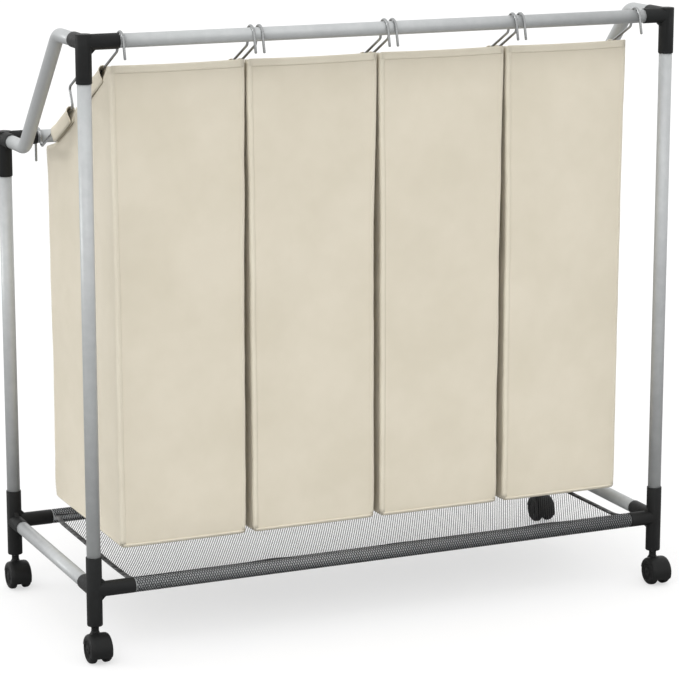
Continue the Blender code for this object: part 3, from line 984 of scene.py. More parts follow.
@dataclass(frozen=True)
class Palette:
    """The sorter's materials."""

    tube: bpy.types.Material
    corner: bpy.types.Material
    hood: bpy.types.Material
    tread: bpy.types.Material
    pin: bpy.types.Material
    wire: bpy.types.Material
    cloth: bpy.types.Material
    hem: bpy.types.Material
    thread: bpy.types.Material
    board: bpy.types.Material
    net: bpy.types.Material
    tape: bpy.types.Material

    @classmethod
    def build(cls) -> "Palette":
        """Mixes every finish once.

        Returns:
            The materials.
        """
        groups = EffectGroups.build()
        black = {"specular": 0.2, "rub": 0.25, "rub_tone": (62, 63, 64)}
        silver = {"metallic": 0.3, "rub": 0.15, "rub_tone": (214, 215, 215)}
        plating = {"metallic": 1.0, "grain": 0.0004, "rub": 0.0}
        fibre = {"grain": 0.0012, "depth": 0.0002, "rub": 0.2}
        binding = {"grain": 0.0009, "depth": 0.0003}
        sewing = {"pitch": 0.0004, "mottle": 0.02}
        finishes = {
            "tube": HardFinish("satin_silver_paint", (179, 182, 182), (174, 176, 177), 0.42, **silver),
            "corner": HardFinish("black_moulded_plastic", (29, 30, 30), (26, 26, 26), 0.5, **black),
            "hood": HardFinish("black_caster_plastic", (26, 27, 27), (23, 23, 23), 0.42, **black),
            "tread": HardFinish("wheel_plastic", (23, 23, 24), (30, 30, 30), 0.58, **black),
            "pin": HardFinish("steel_pin", (160, 160, 162), (140, 140, 142), 0.3, 1.0),
            "wire": HardFinish("plated_wire", (178, 180, 180), (160, 161, 162), 0.27, **plating),
            "board": HardFinish("grey_fibre_board", (126, 121, 112), (110, 106, 98), 0.85, **fibre),
            "tape": HardFinish("black_binding_tape", (26, 27, 28), (34, 35, 36), 0.8, **binding),
            "cloth": ClothFinish("cream_woven_cloth", (221, 213, 195), (215, 207, 188), 0.88, specular=0.2),
            "hem": ClothFinish("cream_hem_tape", (224, 217, 199), (218, 210, 192), 0.88, specular=0.2),
            "thread": ClothFinish("cream_sewing_thread", (230, 224, 208), (222, 214, 196), 0.7, **sewing),
            "net": NetFinish("black_knitted_net", (40, 41, 43), (56, 57, 60), 0.7, specular=0.3),
        }
        return cls(**{name: finish.build(groups) for name, finish in finishes.items()})


# --- Frame -------------------------------------------------------------------------------------------


@dataclass(frozen=True)
class Layout:
    """Where the sorter's tubes run, read from the solids."""

    left_x: float
    right_x: float
    front_y: float
    rear_y: float
    bottom_z: float
    high_z: float
    low_z: float

    @classmethod
    def from_solids(cls) -> "Layout":
        """Reads the axes of the posts and rails from their boxes.

        Returns:
            The layout.
        """

        def middle(node: str) -> Vector:
            """The middle of a solid's box."""
            low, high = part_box(node)
            return (low + high) / 2

        near = middle("front_left_post")
        far = middle("rear_right_post")
        return cls(
            left_x=near.x,
            right_x=far.x,
            front_y=near.y,
            rear_y=far.y,
            bottom_z=middle("bottom_front_rail").z,
            high_z=middle("high_top_rail").z,
            low_z=middle("low_top_rail").z,
        )

    def post(self, row: Row, side: Side) -> Vector:
        """The foot of a post's axis, at the height of the floor."""
        x = self.left_x if side is Side.LEFT else self.right_x
        return Vector((x, self.front_y if row is Row.FRONT else self.rear_y, 0))

    def top_z(self, row: Row) -> float:
        """The height of a row's top rail."""
        return self.high_z if row is Row.FRONT else self.low_z


@dataclass
class TubeFrame:
    """The steel tubes: posts, long rails and side rails, each ending inside its corners' sockets."""

    layout: Layout
    palette: Palette
    radius: float = 0.009
    wall: float = 0.001
    sides: int = 40
    socket_stop: float = 0.0118
    bend: float = 0.027
    run_behind_front: float = 0.099
    run_before_rear: float = 0.0925
    bend_step: float = math.radians(6)

    def build(self) -> None:
        """Makes every tube along its own route."""
        for name, corners in self.routes().items():
            route = rounded_route(corners, self.bend_step)
            shape = sweep_round(route, self.radius, self.sides)
            piece = make_piece(f"{name}_tube", shape, self.palette.tube, Seat("frame", "tube", (name,)))
            give_wall(piece, self.wall)

    def routes(self) -> dict[str, list[tuple[Vector, float]]]:
        """Lays out the tubes.

        Returns:
            Each tube's corners with their bend radii, by the solid that it stands for.
        """
        at = self.layout
        stop = self.socket_stop
        routes: dict[str, list[tuple[Vector, float]]] = {}
        for side in Side:
            for row in Row:
                foot = at.post(row, side)
                low = foot + UP * (at.bottom_z + stop)
                routes[f"{row.word}_{side.word}_post"] = [(low, 0), (foot + UP * (at.top_z(row) - stop), 0)]
            x = at.post(Row.FRONT, side).x
            front = at.front_y + stop
            rear = at.rear_y - stop
            routes[f"bottom_{side.word}_rail"] = [(Vector((x, y, at.bottom_z)), 0) for y in (front, rear)]
            routes[f"top_{side.word}_side_rail"] = [
                (Vector((x, front, at.high_z)), 0),
                (Vector((x, at.front_y + self.run_behind_front, at.high_z)), self.bend),
                (Vector((x, at.rear_y - self.run_before_rear, at.low_z)), self.bend),
                (Vector((x, rear, at.low_z)), 0),
            ]
        long_rails = (
            ("high_top_rail", at.front_y, at.high_z),
            ("low_top_rail", at.rear_y, at.low_z),
            ("bottom_front_rail", at.front_y, at.bottom_z),
            ("bottom_rear_rail", at.rear_y, at.bottom_z),
        )
        for name, y, z in long_rails:
            routes[name] = [(Vector((x, y, z)), 0) for x in (at.left_x + stop, at.right_x - stop)]
        return routes


@dataclass
class CornerMoulding:
    """One push-fit corner moulding: an upright with a leg, two level arms and the gussets between them."""

    long_arm: float
    short_arm: float
    leg: float
    collar: float
    stem_bore: bool
    upright: float = 0.01025
    arm: float = 0.01005
    socket: float = 0.0093
    socket_stop: float = 0.0115
    gusset: float = 0.0095
    gusset_thickness: float = 0.005
    gusset_rounding: float = 0.0006
    lip: float = 0.0006
    stem_radius: float = 0.0043
    stem_depth: float = 0.0263
    beyond: float = 0.003
    sides: int = 48
    bore_sides: int = 24

    def bar(self, radius: float, start: float, end: float, place: Matrix, lips: tuple[float, float]) -> Shape:
        """A round bar along Z with an eased edge at each end.

        Args:
            radius: The bar's radius.
            start: Its lower end.
            end: Its upper end.
            place: Where it goes.
            lips: How far the lower and the upper edge are eased.

        Returns:
            The bar.
        """
        profile = [(0, start)]
        for height, way, lip in ((start, 1, lips[0]), (end, -1, lips[1])):
            edge = [(radius - lip * (1 - out), height + way * lip * rise) for out, rise in EASED_EDGE]
            profile += edge[::way] if lip else [(radius, height)]
        profile.append((0, end))
        return turn_profile(profile, self.sides, place)

    def socket_cutter(self, end: float, place: Matrix) -> Shape:
        """The bore of a socket along Z.

        Args:
            end: The height of its flared mouth.
            place: Where it goes.

        Returns:
            The bore, which stands out beyond the mouth.
        """
        stop = self.socket_stop
        beyond = end + self.beyond
        flare = self.socket + self.lip * 0.5
        profile = [(0, stop), (self.socket, stop), (self.socket, end - self.lip * 0.5), (flare, end)]
        profile += [(flare, beyond), (0, beyond)]
        return turn_profile(profile, self.sides, place)

    def build(self, hand: int) -> Shape:
        """Makes the moulding with its post axis on Z and its rail axes at height 0.

        Args:
            hand: 1 where the short arm points along +Y, -1 where it points along -Y.

        Returns:
            The moulding.
        """
        top = self.collar or self.upright
        joined = [self.bar(self.upright, -self.leg, top, STILL, (self.lip * 2, self.lip))]
        cut = []
        for turn, length in ((0.0, self.long_arm), (hand * QUARTER, self.short_arm)):
            level = Matrix.Rotation(turn, 4, "Z") @ Matrix.Rotation(QUARTER, 4, "Y")
            joined.append(self.bar(self.arm, 0, length, level, (0, self.lip)))
            joined += [self.web(turn, rise) for rise in ((1, -1) if self.collar else (-1,))]
            cut.append(self.socket_cutter(length, level))
        upside_down = Matrix.Rotation(math.pi, 4, "X")
        post_end = self.collar or self.leg
        cut.append(self.socket_cutter(post_end, STILL if self.collar else upside_down))
        if self.stem_bore:
            bore = rod_profile(self.stem_radius, self.leg - self.stem_depth, self.leg + self.beyond)
            cut.append(turn_profile(bore, self.bore_sides, upside_down))
        return combined(joined, cut)

    def web(self, turn: float, rise: int) -> Shape:
        """The gusset between an arm and the upright.

        Args:
            turn: The arm's turn about Z.
            rise: 1 above the arm, -1 below it.

        Returns:
            The gusset, as a three-cornered plate.
        """
        root = self.upright / 2
        tip = self.upright + self.gusset
        outline = [Vector((x, 0, rise * z)) for x, z in ((root, root), (tip, root), (root, tip))]
        plate = cut_plate(outline, Vector((0, self.gusset_thickness, 0)), self.gusset_rounding)
        return copied(plate, Matrix.Rotation(turn, 4, "Z"))


@dataclass
class Corners:
    """The eight corners, from four mouldings: rear ones mirror front ones, and right ones are turned."""

    layout: Layout
    palette: Palette
    top: CornerMoulding
    bottom: CornerMoulding

    @classmethod
    def of(cls, layout: Layout, palette: Palette) -> "Corners":
        """The corners with the sizes of this sorter's two mouldings."""
        top = CornerMoulding(0.0455, 0.036, 0.0515, 0.0, False)
        bottom = CornerMoulding(0.054, 0.040, 0.0477, 0.044, True)
        return cls(layout, palette, top, bottom)

    def build(self) -> None:
        """Makes the corners and puts them on their posts."""
        for level, moulding in (("top", self.top), ("bottom", self.bottom)):
            for row in Row:
                shape = moulding.build(row.value)
                height = self.layout.top_z(row) if level == "top" else self.layout.bottom_z
                for side in Side:
                    turn = 0.0 if side is Side.LEFT else row.value * QUARTER
                    place = Matrix.Translation(self.layout.post(row, side) + UP * height)
                    node = f"{level}_{row.word}_{side.word}_connector"
                    made = copied(shape, place @ Matrix.Rotation(turn, 4, "Z"))
                    seat = Seat("frame", "connector", (node,))
                    make_piece(f"{level}_{row.word}_{side.word}_corner", made, self.palette.corner, seat)
                shape.free()


@dataclass
class Caster:
    """A twin-wheel caster: a fixed steel stem, a swivelling hood and two wheels on one axle."""

    row: Row
    side: Side
    palette: Palette
    wheel_radius: float = 0.0185
    web: float = 0.0092
    side_gap: float = 0.0006
    clearance: float = 0.0008
    hood_wall: float = 0.0012
    hood_from: float = math.radians(12)
    hood_to: float = math.radians(204)
    web_drop: float = math.radians(24)
    shoulder: float = 0.0044
    shoulder_drop: float = 0.0036
    inner_shoulder: float = 0.0024
    inner_drop: float = 0.0028
    neck: float = 0.005
    pivot: float = 0.0027
    axle_radius: float = 0.002
    bore_depth: float = 0.0082
    stem_radius: float = 0.004
    gap: float = 0.0003
    flange: float = 0.0015
    shaft_ease: float = 0.0004
    crown: float = 0.0006
    web_rounding: float = 0.0005
    chamfer: float = 0.0003
    bore_beyond: float = 0.003
    hood_steps: int = 16
    hood_turns: int = 40
    web_steps: int = 48
    tread_steps: int = 12
    rounds: int = 56
    stem_sides: int = 40
    bore_sides: int = 32
    pin_sides: int = 24

    def __post_init__(self) -> None:
        """Reads the caster's places from its solids."""
        self.name = f"{self.row.word}_{self.side.word}_caster"
        low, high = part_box(f"{self.name}_axle")
        self.axle = (low + high) / 2
        low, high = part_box(f"{self.name}_stem")
        self.stem_axis = Vector(((low.x + high.x) / 2, (low.y + high.y) / 2, 0))
        self.stem_low = low.z
        self.stem_high = high.z
        self.neck_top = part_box(f"{self.name}_housing")[1].z
        low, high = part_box(f"{self.name}_left_wheel")
        self.wheel_width = high.x - low.x
        self.inner = self.web / 2 + self.side_gap
        self.half_width = self.inner + self.wheel_width

    def build(self) -> None:
        """Makes the stem, the hood, the axle and the two wheels."""
        swivel = f"{self.name}_swivel_body"
        stem = turn_profile(self.stem_profile(), self.stem_sides, Matrix.Translation(self.stem_axis))
        seat = Seat("frame", "pin", (f"{self.name}_stem",))
        make_piece(f"{self.name}_steel_stem", stem, self.palette.pin, seat)
        seat = Seat(swivel, "caster_plastic", (f"{self.name}_housing",))
        make_piece(f"{self.name}_hood", self.hood(), self.palette.hood, seat)
        seat = Seat(swivel, "pin", (f"{self.name}_axle",))
        make_piece(f"{self.name}_axle_pin", self.axle_pin(), self.palette.pin, seat)
        for side in Side:
            node = f"{self.name}_{side.word}_wheel"
            seat = Seat(node, "tread", (node,))
            make_piece(f"{self.name}_{side.word}_tyre", self.wheel(side), self.palette.tread, seat, 30.0)

    def stem_profile(self) -> Profile:
        """Outlines the stem.

        Returns:
            A chamfered shaft with a groove, the flange and the pivot in the neck.
        """
        flange_low = self.neck_top + self.gap
        flange_top = flange_low + self.flange
        ease_by = self.shaft_ease
        top = self.stem_high
        shaft = self.stem_radius
        groove = ((0.0, 0.006), (ease_by, 0.0065), (ease_by, 0.009), (0.0, 0.0095))
        return [
            (0, top),
            (shaft - 2 * ease_by, top),
            (shaft, top - 2 * ease_by),
            *((shaft - inset, top - below) for inset, below in groove),
            (shaft, flange_top),
            (self.neck - ease_by, flange_top),
            (self.neck, flange_top - ease_by),
            (self.neck, flange_low + ease_by),
            (self.neck - ease_by, flange_low),
            (self.pivot, flange_low),
            (self.pivot, self.stem_low + ease_by),
            (self.pivot - ease_by, self.stem_low),
            (0, self.stem_low),
        ]

    def shell_radius(self, across: float, inset: float) -> float:
        """The hood's radius, rounded at the shoulders.

        Args:
            across: The distance from its middle plane.
            inset: How far the surface lies inside the hood's skin.

        Returns:
            The radius.
        """
        past = max(0.0, abs(across) - (self.half_width - self.shoulder)) / self.shoulder
        drop = self.shoulder_drop * (1 - math.sqrt(max(0.0, 1 - min(past, 1.0) ** 2)))
        crown = self.crown * (across / self.half_width) ** 2
        return self.wheel_radius + self.clearance + self.hood_wall - inset - drop - crown

    def hood(self) -> Shape:
        """Makes the hood.

        Returns:
            A barrel-shaped shell over the wheels, the web between them and the neck, in one skin.
        """
        angles = evenly(-QUARTER, QUARTER, self.hood_steps)
        stations = [math.sin(angle) * self.half_width for angle in angles]
        outer = [Vector((x, self.shell_radius(x, 0), 0)) for x in stations]
        inner = [Vector((x, self.shell_radius(x, self.hood_wall), 0)) for x in reversed(stations)]
        start = Matrix.Rotation(self.hood_from, 4, "X")
        shell = bmesh.new()
        loop = draw_line(shell, [start @ point for point in outer + inner], closed=True)
        bmesh.ops.contextual_create(shell, geom=loop)
        bmesh.ops.spin(
            shell,
            geom=list(shell.faces),
            cent=(0, 0, 0),
            axis=(1, 0, 0),
            angle=self.hood_to - self.hood_from,
            steps=self.hood_turns,
        )
        bmesh.ops.recalc_face_normals(shell, faces=shell.faces)
        bmesh.ops.translate(shell, vec=self.axle, verts=shell.verts)
        reach = self.wheel_radius + self.clearance + self.hood_wall * 0.5
        outline = arc_points(self.axle, reach, -self.web_drop, math.pi + self.web_drop, self.web_steps)
        web = cut_plate(outline, Vector((self.web, 0, 0)), self.web_rounding)
        return combined([web, shell, self.neck_bar()], [self.pivot_bore(), self.axle_bore()])

    def neck_bar(self) -> Shape:
        """Makes the neck.

        Returns:
            A bar round the pivot, flared where it meets the hood.
        """
        flare = ((0.0022, 0.0088), (0.0010, 0.0072), (0.0002, 0.0055), (0.0, 0.004))
        root = self.axle.z + self.wheel_radius / 2
        top = self.neck_top
        profile = [(0, root), (self.neck + flare[0][0], root)]
        profile += [(self.neck + out, top - below) for out, below in flare]
        profile += [(self.neck, top - self.chamfer), (self.neck - self.chamfer, top), (0, top)]
        return turn_profile(profile, self.stem_sides, Matrix.Translation(self.stem_axis))

    def pivot_bore(self) -> Shape:
        """The bore that the stem's pivot turns in."""
        end = self.neck_top + self.bore_beyond
        profile = rod_profile(self.pivot + self.gap, self.stem_low - self.gap, end)
        return turn_profile(profile, self.bore_sides, Matrix.Translation(self.stem_axis))

    def on_axle(self, turn: float) -> Matrix:
        """The place of a shape whose Z goes along the axle, by its turn about Y."""
        return Matrix.Translation(self.axle) @ Matrix.Rotation(turn, 4, "Y")

    def axle_bore(self) -> Shape:
        """The hole through the web for the axle."""
        profile = rod_profile(self.axle_radius + self.gap, -self.web, self.web)
        return turn_profile(profile, self.bore_sides, self.on_axle(QUARTER))

    def axle_pin(self) -> Shape:
        """Makes the axle.

        Returns:
            A pin with chamfered ends and two retaining grooves.
        """
        half = self.inner + self.bore_depth - self.gap
        radius = self.axle_radius
        waist = radius - self.chamfer
        groove_from_end = 0.003
        groove_half = 0.0004
        profile = [(0, -half), (waist, -half), (radius, self.chamfer - half)]
        for centre in (groove_from_end - half, half - groove_from_end):
            start = centre - groove_half
            end = centre + groove_half
            profile += [(radius, start), (waist, start), (waist, end), (radius, end)]
        profile += [(radius, half - self.chamfer), (waist, half), (0, half)]
        return turn_profile(profile, self.pin_sides, self.on_axle(QUARTER))

    def wheel(self, side: Side) -> Shape:
        """One wheel: a rounded tread, a dished outer face with ribs and a hub cap, and a blind bore.

        Args:
            side: Which side of the hood it rolls on.

        Returns:
            The wheel in its place.
        """
        dish = 0.0012
        rim_edge = ((0.0006, 0.0), (0.0022, 0.0), (0.0028, 0.0009))
        hub = ((0.0062, dish), (0.0058, 0.0006), (0.0050, 0.0002))
        hub_hole = ((0.0020, 0.0002), (0.0016, 0.0007), (0.0, 0.0007))
        outer = self.half_width
        bore = self.axle_radius + self.gap
        clear = self.clearance + self.hood_wall
        floor = self.inner + self.bore_depth
        profile = [(0, floor), (bore, floor), (bore, self.inner)]
        start = self.inner + self.inner_shoulder
        for across in evenly(self.inner, start, self.tread_steps)[:-1]:
            share = (start - across) / self.inner_shoulder
            drop = self.inner_drop * (1 - math.sqrt(max(0.0, 1 - share**2)))
            profile.append((self.shell_radius(across, clear) - drop, across))
        for angle in evenly(0.0, QUARTER, self.tread_steps)[:-1]:
            across = start + (outer - start) * math.sin(angle)
            profile.append((self.shell_radius(across, clear), across))
        rim = self.shell_radius(outer, clear)
        profile += [(rim - inset, outer - below) for inset, below in rim_edge]
        profile += [(radius, outer - below) for radius, below in hub + hub_hole]
        shape = turn_profile(profile, self.rounds, STILL)
        self.press_ribs(shape, outer - dish, hub[0][0], rim - rim_edge[-1][0])
        bmesh.ops.transform(shape, matrix=self.on_axle(QUARTER * side.value), verts=shape.verts)
        return shape

    @staticmethod
    def press_ribs(shape: Shape, height: float, hub: float, rim: float) -> None:
        """Presses shallow windows into the dished face, which leaves ribs between them.

        Args:
            shape: The wheel, its axis on Z.
            height: The height of the dished face.
            hub: The dished face's inner radius.
            rim: Its outer radius.
        """
        rib_pitch = 45
        rib_turn = 12
        sink = 0.0005
        bevel = 0.0004
        level = 0.0004
        windows = []
        for face in shape.faces:
            middle = face.calc_center_median()
            spread = math.hypot(middle.x, middle.y)
            turn = math.degrees(math.atan2(middle.y, middle.x)) % rib_pitch
            if abs(middle.z - height) < level and hub < spread < rim and turn > rib_turn:
                windows.append(face)
        bmesh.ops.inset_region(shape, faces=windows, thickness=bevel, depth=-sink, use_even_offset=True)
        bmesh.ops.recalc_face_normals(shape, faces=shape.faces)


# --- Bags --------------------------------------------------------------------------------------------


@dataclass(frozen=True)
class HangLine:
    """The straight run that every hanger follows from the high rail down to the low one."""

    layout: Layout
    hook: float = 0.01125
    drop: float = 0.014
    wire: float = 0.00175

    @property
    def front(self) -> Vector:
        """The run's upper end, behind the high rail."""
        return Vector((0, self.layout.front_y + self.hook, self.layout.high_z - self.drop))

    @property
    def rear(self) -> Vector:
        """The run's lower end, in front of the low rail."""
        return Vector((0, self.layout.rear_y - self.hook, self.layout.low_z - self.drop))

    @property
    def along(self) -> Vector:
        """The run's direction, backwards and down."""
        return (self.rear - self.front).normalized()

    @property
    def square(self) -> Vector:
        """The direction square to the run, upwards."""
        return Vector((0, -self.along.z, self.along.y))

    def at(self, depth: float, lift: float = 0.0) -> Vector:
        """A point of the run.

        Args:
            depth: How far it is behind the front rail's axis.
            lift: How far it is raised square to the run.

        Returns:
            The point, at X 0.
        """
        share = (self.layout.front_y + depth - self.front.y) / (self.rear.y - self.front.y)
        return self.front.lerp(self.rear, share) + self.square * lift


@dataclass
class Hanger:
    """A bag's wire hanger: a hook over each rail, a straight run through the sleeves and a raised handle."""

    bag: int
    side: Side
    line: HangLine
    palette: Palette
    grip_from: float
    grip_to: float
    front_tail: float = 0.026
    tail_slant: float = math.radians(14)
    rear_tail: float = 0.036
    handle_rise: float = 0.028
    handle_inset: float = 0.007
    bend: float = 0.006
    dome: float = 0.6
    sides: int = 14
    bend_step: float = math.radians(9)

    def build(self) -> bpy.types.Object:
        """Makes the hanger.

        Returns:
            Its piece.
        """
        node = f"bag_{self.bag}_{self.side.word}_hanger"
        low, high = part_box(node)
        route = [point + Vector(((low.x + high.x) / 2, 0, 0)) for point in self.route()]
        shape = sweep_round(route, self.line.wire, self.sides, dome=self.line.wire * self.dome)
        seat = Seat(f"bag_{self.bag}", "wire", (node,))
        return make_piece(f"bag_{self.bag}_{self.side.word}_wire", shape, self.palette.wire, seat)

    def route(self) -> list[Vector]:
        """Lays out the wire's centreline.

        Returns:
            Its points, from the rear tail over both rails to the front tail.
        """
        at = self.line.layout
        hook = self.line.hook
        slant = self.tail_slant
        corner_y = hook * ((1 - math.sin(slant)) * math.tan(slant) - math.cos(slant))
        leave = Vector((0, -math.cos(slant), math.sin(slant))) * hook
        tail_way = Vector((0, -math.sin(slant), -math.cos(slant)))
        high = Vector((0, at.front_y, at.high_z))
        low = Vector((0, at.rear_y, at.low_z))
        rise = self.line.square * self.handle_rise
        foot_rear = self.line.at(self.grip_to - self.handle_inset)
        foot_front = self.line.at(self.grip_from + self.handle_inset)
        cap = self.line.wire * self.dome
        corners = [
            (low + Vector((0, hook, cap - self.rear_tail)), 0.0),
            (low + Vector((0, hook, hook)), hook),
            (low + Vector((0, -hook, hook)), hook),
            (self.line.rear, self.bend),
            (foot_rear, self.bend),
            (foot_rear + rise, self.bend),
            (foot_front + rise, self.bend),
            (foot_front, self.bend),
            (self.line.front, self.bend),
            (high + Vector((0, hook, hook)), hook),
            (high + Vector((0, corner_y, hook)), hook),
            (high + leave + tail_way * (self.front_tail - cap), 0.0),
        ]
        return rounded_route(corners, self.bend_step)


@dataclass(frozen=True)
class Hang:
    """How far, in metres, hanging cloth strays from the straight pattern."""

    top_spread: float = 0.0006
    draw_in: float = 0.0029
    side_bow: float = 0.0042
    side_ripple: float = 0.0009
    side_crease: float = 0.0005
    panel_bow: float = 0.0022
    panel_ripple: float = 0.0007
    panel_crease: float = 0.0004
    rim_dip: float = 0.0011
    floor_sag: float = 0.0014
    pinch: tuple[float, float, float] = (0.0006, 0.0008, 0.0004)


@dataclass
class Bag:
    """One cloth bag: its body, the sleeves over the hangers, hems, bindings, stitching and the base board."""

    number: int
    line: HangLine
    palette: Palette
    hang: Hang = Hang()
    corner: float = 0.003
    cuts: tuple[int, int, int] = (24, 58, 84)
    longest_uncut: float = 0.03
    cloth: float = 0.0011
    sleeve_front: tuple[float, float] = (0.065, 0.134)
    sleeve_rear: tuple[float, float] = (0.198, 0.267)
    sleeve_steps: int = 22
    seam_drop: float = 0.0155
    below_low_rail: float = 0.008
    front_flat: float = 0.011
    notch_lead: float = 0.019
    grip_drop: float = 0.0195
    hem_height: float = 0.0085
    tape: float = 0.0052
    low_tape: float = 0.00416
    board_play: float = 0.0025
    board_corner: float = 0.006
    board_edge: float = 0.0006
    stitch_pitch: float = 0.0042
    stitch_length: float = 0.0027
    stitch_radius: float = 0.00028
    stitch_margin: float = 0.006
    stitch_steps: int = 60
    side_steps: int = 40
    panel_steps: int = 26
    proud: float = 0.0002

    def __post_init__(self) -> None:
        """Reads the bag's box from its solid and sets how this bag hangs."""
        self.name = f"bag_{self.number}"
        self.low, self.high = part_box(f"{self.name}_fabric")
        self.middle = (self.low.x + self.high.x) / 2
        self.half = (self.high.x - self.low.x) / 2
        self.depth = self.high.y - self.low.y
        self.seed = Vector((self.number * 3.7, self.number * 1.9, self.number * 5.3))
        self.seat = Seat(self.name, "fabric")
        self.rear_top = self.line.layout.low_z - self.below_low_rail
        self.panels = ((-1, self.low.y, self.high.z), (1, self.high.y, self.rear_top))

    # The hang of the cloth

    def sway(self, x: float, y: float, z: float) -> float:
        """A slow noise from -1 to 1, different for each bag."""
        return noise.noise(Vector((x, y, z)) + self.seed)

    def drape(self, place: Vector) -> Vector:
        """Moves a point of the cut pattern to where it hangs.

        Args:
            place: The point on the straight-sided bag.

        Returns:
            The point on the hanging bag: its sides drawn in lower down, its panels bowed and creased.
        """
        hang = self.hang
        side = (place.x - self.middle) / self.half
        front = 1 - 2 * (place.y - self.low.y) / self.depth
        height = (place.z - self.low.z) / (self.high.z - self.low.z)
        hand = 1 if side > 0 else -1
        across = 1 - side * side
        behind = max(0.0, 1 - front * front)
        slack = ease(height, 0.985, 0.865) * ease(height, -0.01, 0.04)
        lower = ease(height, 0.97, 0.52) * (0.85 + 0.4 * self.sway(hand, front, height * 3))
        bowed = behind * (0.55 + 0.45 * self.sway(hand * 2, 0.5, height * 2.2))
        bulge = across * (0.2 + self.sway(0.3 * side, front, height * 2.4))
        draw = hang.top_spread * ease(height, 0.8, 1.0) - hang.draw_in * lower - hang.side_bow * bowed * slack
        draw += hang.side_ripple * slack * self.sway(hand * 4, place.y * 14, place.z * 7)
        draw += hang.side_crease * slack * self.sway(hand * 9, place.y * 45, place.z * 26)
        bow = hang.panel_bow * bulge * slack
        bow += hang.panel_ripple * slack * self.sway(place.x * 16, front * 2, place.z * 9)
        bow += hang.panel_crease * slack * self.sway(place.x * 52, front * 5, place.z * 30)
        dip = hang.rim_dip * across * ease(height, 0.93, 1.0) * abs(front)
        dip += hang.floor_sag * across * behind * ease(height, 0.02, 0.0)
        pinch = ease(height, 0.045, 0.0) * ease(abs(side), 0.86, 1.0) * ease(abs(front), 0.9, 1.0)
        inwards, back, up = hang.pinch
        moved = place.copy()
        moved.x += side * draw - hand * inwards * pinch
        moved.y -= front * bow - front * back * pinch
        moved.z -= dip - up * pinch
        return moved

    def rim(self) -> Profile:
        """Lays out the side panel's cut edge.

        Returns:
            Its corners, as (distance behind the front panel, height).
        """
        shift = self.line.layout.front_y - self.low.y

        def cut(depth: float, drop: float) -> tuple[float, float]:
            """The corner at a depth behind the front rail, at a drop below the hanger's run."""
            return shift + depth, self.line.at(depth).z - drop / self.line.along.y

        top = self.high.z
        front_dip = 0.001
        past_sleeve = 0.003
        notch_slope = 0.006
        notch_rise = 0.010
        notch_top = 0.004
        rear_flat = 0.010
        rear_rise = 0.003
        first, last = self.sleeve_front
        mouth, end = self.sleeve_rear
        notch_end = mouth - self.notch_lead
        return [
            (0.0, top),
            (self.front_flat, top - front_dip),
            cut(first - past_sleeve, self.seam_drop),
            cut(last, self.seam_drop),
            cut(last + notch_slope, self.grip_drop),
            cut(notch_end - notch_rise, self.grip_drop),
            cut(notch_end, notch_top),
            cut(mouth, self.seam_drop),
            cut(end + past_sleeve, self.seam_drop),
            (self.depth - rear_flat, self.rear_top + rear_rise),
            (self.depth, self.rear_top),
        ]

    # The body

    def body(self) -> Shape:
        """Makes the sewn body.

        Returns:
            A gridded box, open at the top, cut to its rim and draped.
        """
        shape = block((self.low + self.high) / 2, self.high - self.low)
        shape.normal_update()
        lid = [face for face in shape.faces if face.normal.z > 0.5]
        bmesh.ops.delete(shape, geom=lid, context="FACES_ONLY")
        folds = [edge for edge in shape.edges if not edge.is_boundary]
        bmesh.ops.bevel(shape, geom=folds, offset=self.corner, segments=3, **EVEN_BEVEL)
        for axis, count in enumerate(self.cuts):
            runs = [edge for edge in shape.edges if along_axis(edge, axis) > self.longest_uncut]
            bmesh.ops.subdivide_edges(shape, edges=runs, cuts=count, use_grid_fill=True)
        self.cut_rim(shape)
        for vert in shape.verts:
            vert.co = self.drape(vert.co)
        bmesh.ops.recalc_face_normals(shape, faces=shape.faces)
        return mapped(shape)

    def cut_rim(self, shape: Shape) -> None:
        """Draws the columns of the grid to the rim, with a column at each of its corners.

        Args:
            shape: The gridded body.
        """
        rim = self.rim()
        rows = sorted({round(vert.co.y - self.low.y, 6) for vert in shape.verts})
        inner = [row for row in rows if self.corner < row < self.depth - self.corner]
        targets = {0.0: 0.0, self.depth: self.depth, self.corner: self.corner}
        targets[self.depth - self.corner] = self.depth - self.corner
        for station, _ in rim[1:-1]:
            nearest = min((row for row in inner if row not in targets), key=lambda row: abs(row - station))
            targets[nearest] = station
        spacing = sorted(targets.items())
        span = self.high.z - self.low.z
        for vert in shape.verts:
            behind = vert.co.y - self.low.y
            if self.corner < behind < self.depth - self.corner:
                behind = between(spacing, behind)
                vert.co.y = self.low.y + behind
            share = (vert.co.z - self.low.z) / span
            stretch = between(rim, behind) - self.low.z
            vert.co.z = self.low.z + share * stretch

    # Trims

    def sleeve(self, shape: Shape, side: Side, ends: tuple[float, float]) -> None:
        """Adds a sleeve that wraps the hanger.

        Args:
            shape: The mesh of all the bag's sleeves.
            side: The bag's side.
            ends: The sleeve's two ends, as depths behind the front rail's axis.
        """
        outside = ((0.0010, -0.0185), (0.0016, -0.0140), (0.0019, -0.0080), (0.0017, -0.0025))
        crown = ((0.0009, 0.0012), (-0.0006, 0.0032), (-0.0027, 0.0038), (-0.0049, 0.0031), (-0.0062, 0.0010))
        inside = ((-0.0063, -0.0026), (-0.0050, -0.0085), (-0.0033, -0.0140), (-0.0024, -0.0180))
        section = outside + crown + inside
        seam = section[0][1]
        centre = -0.0022
        mouth_length = 0.012
        mouth_rise = 0.0006
        gape = 0.45
        slack = 0.0007
        face = self.middle + side.value * self.half
        first, last = ends

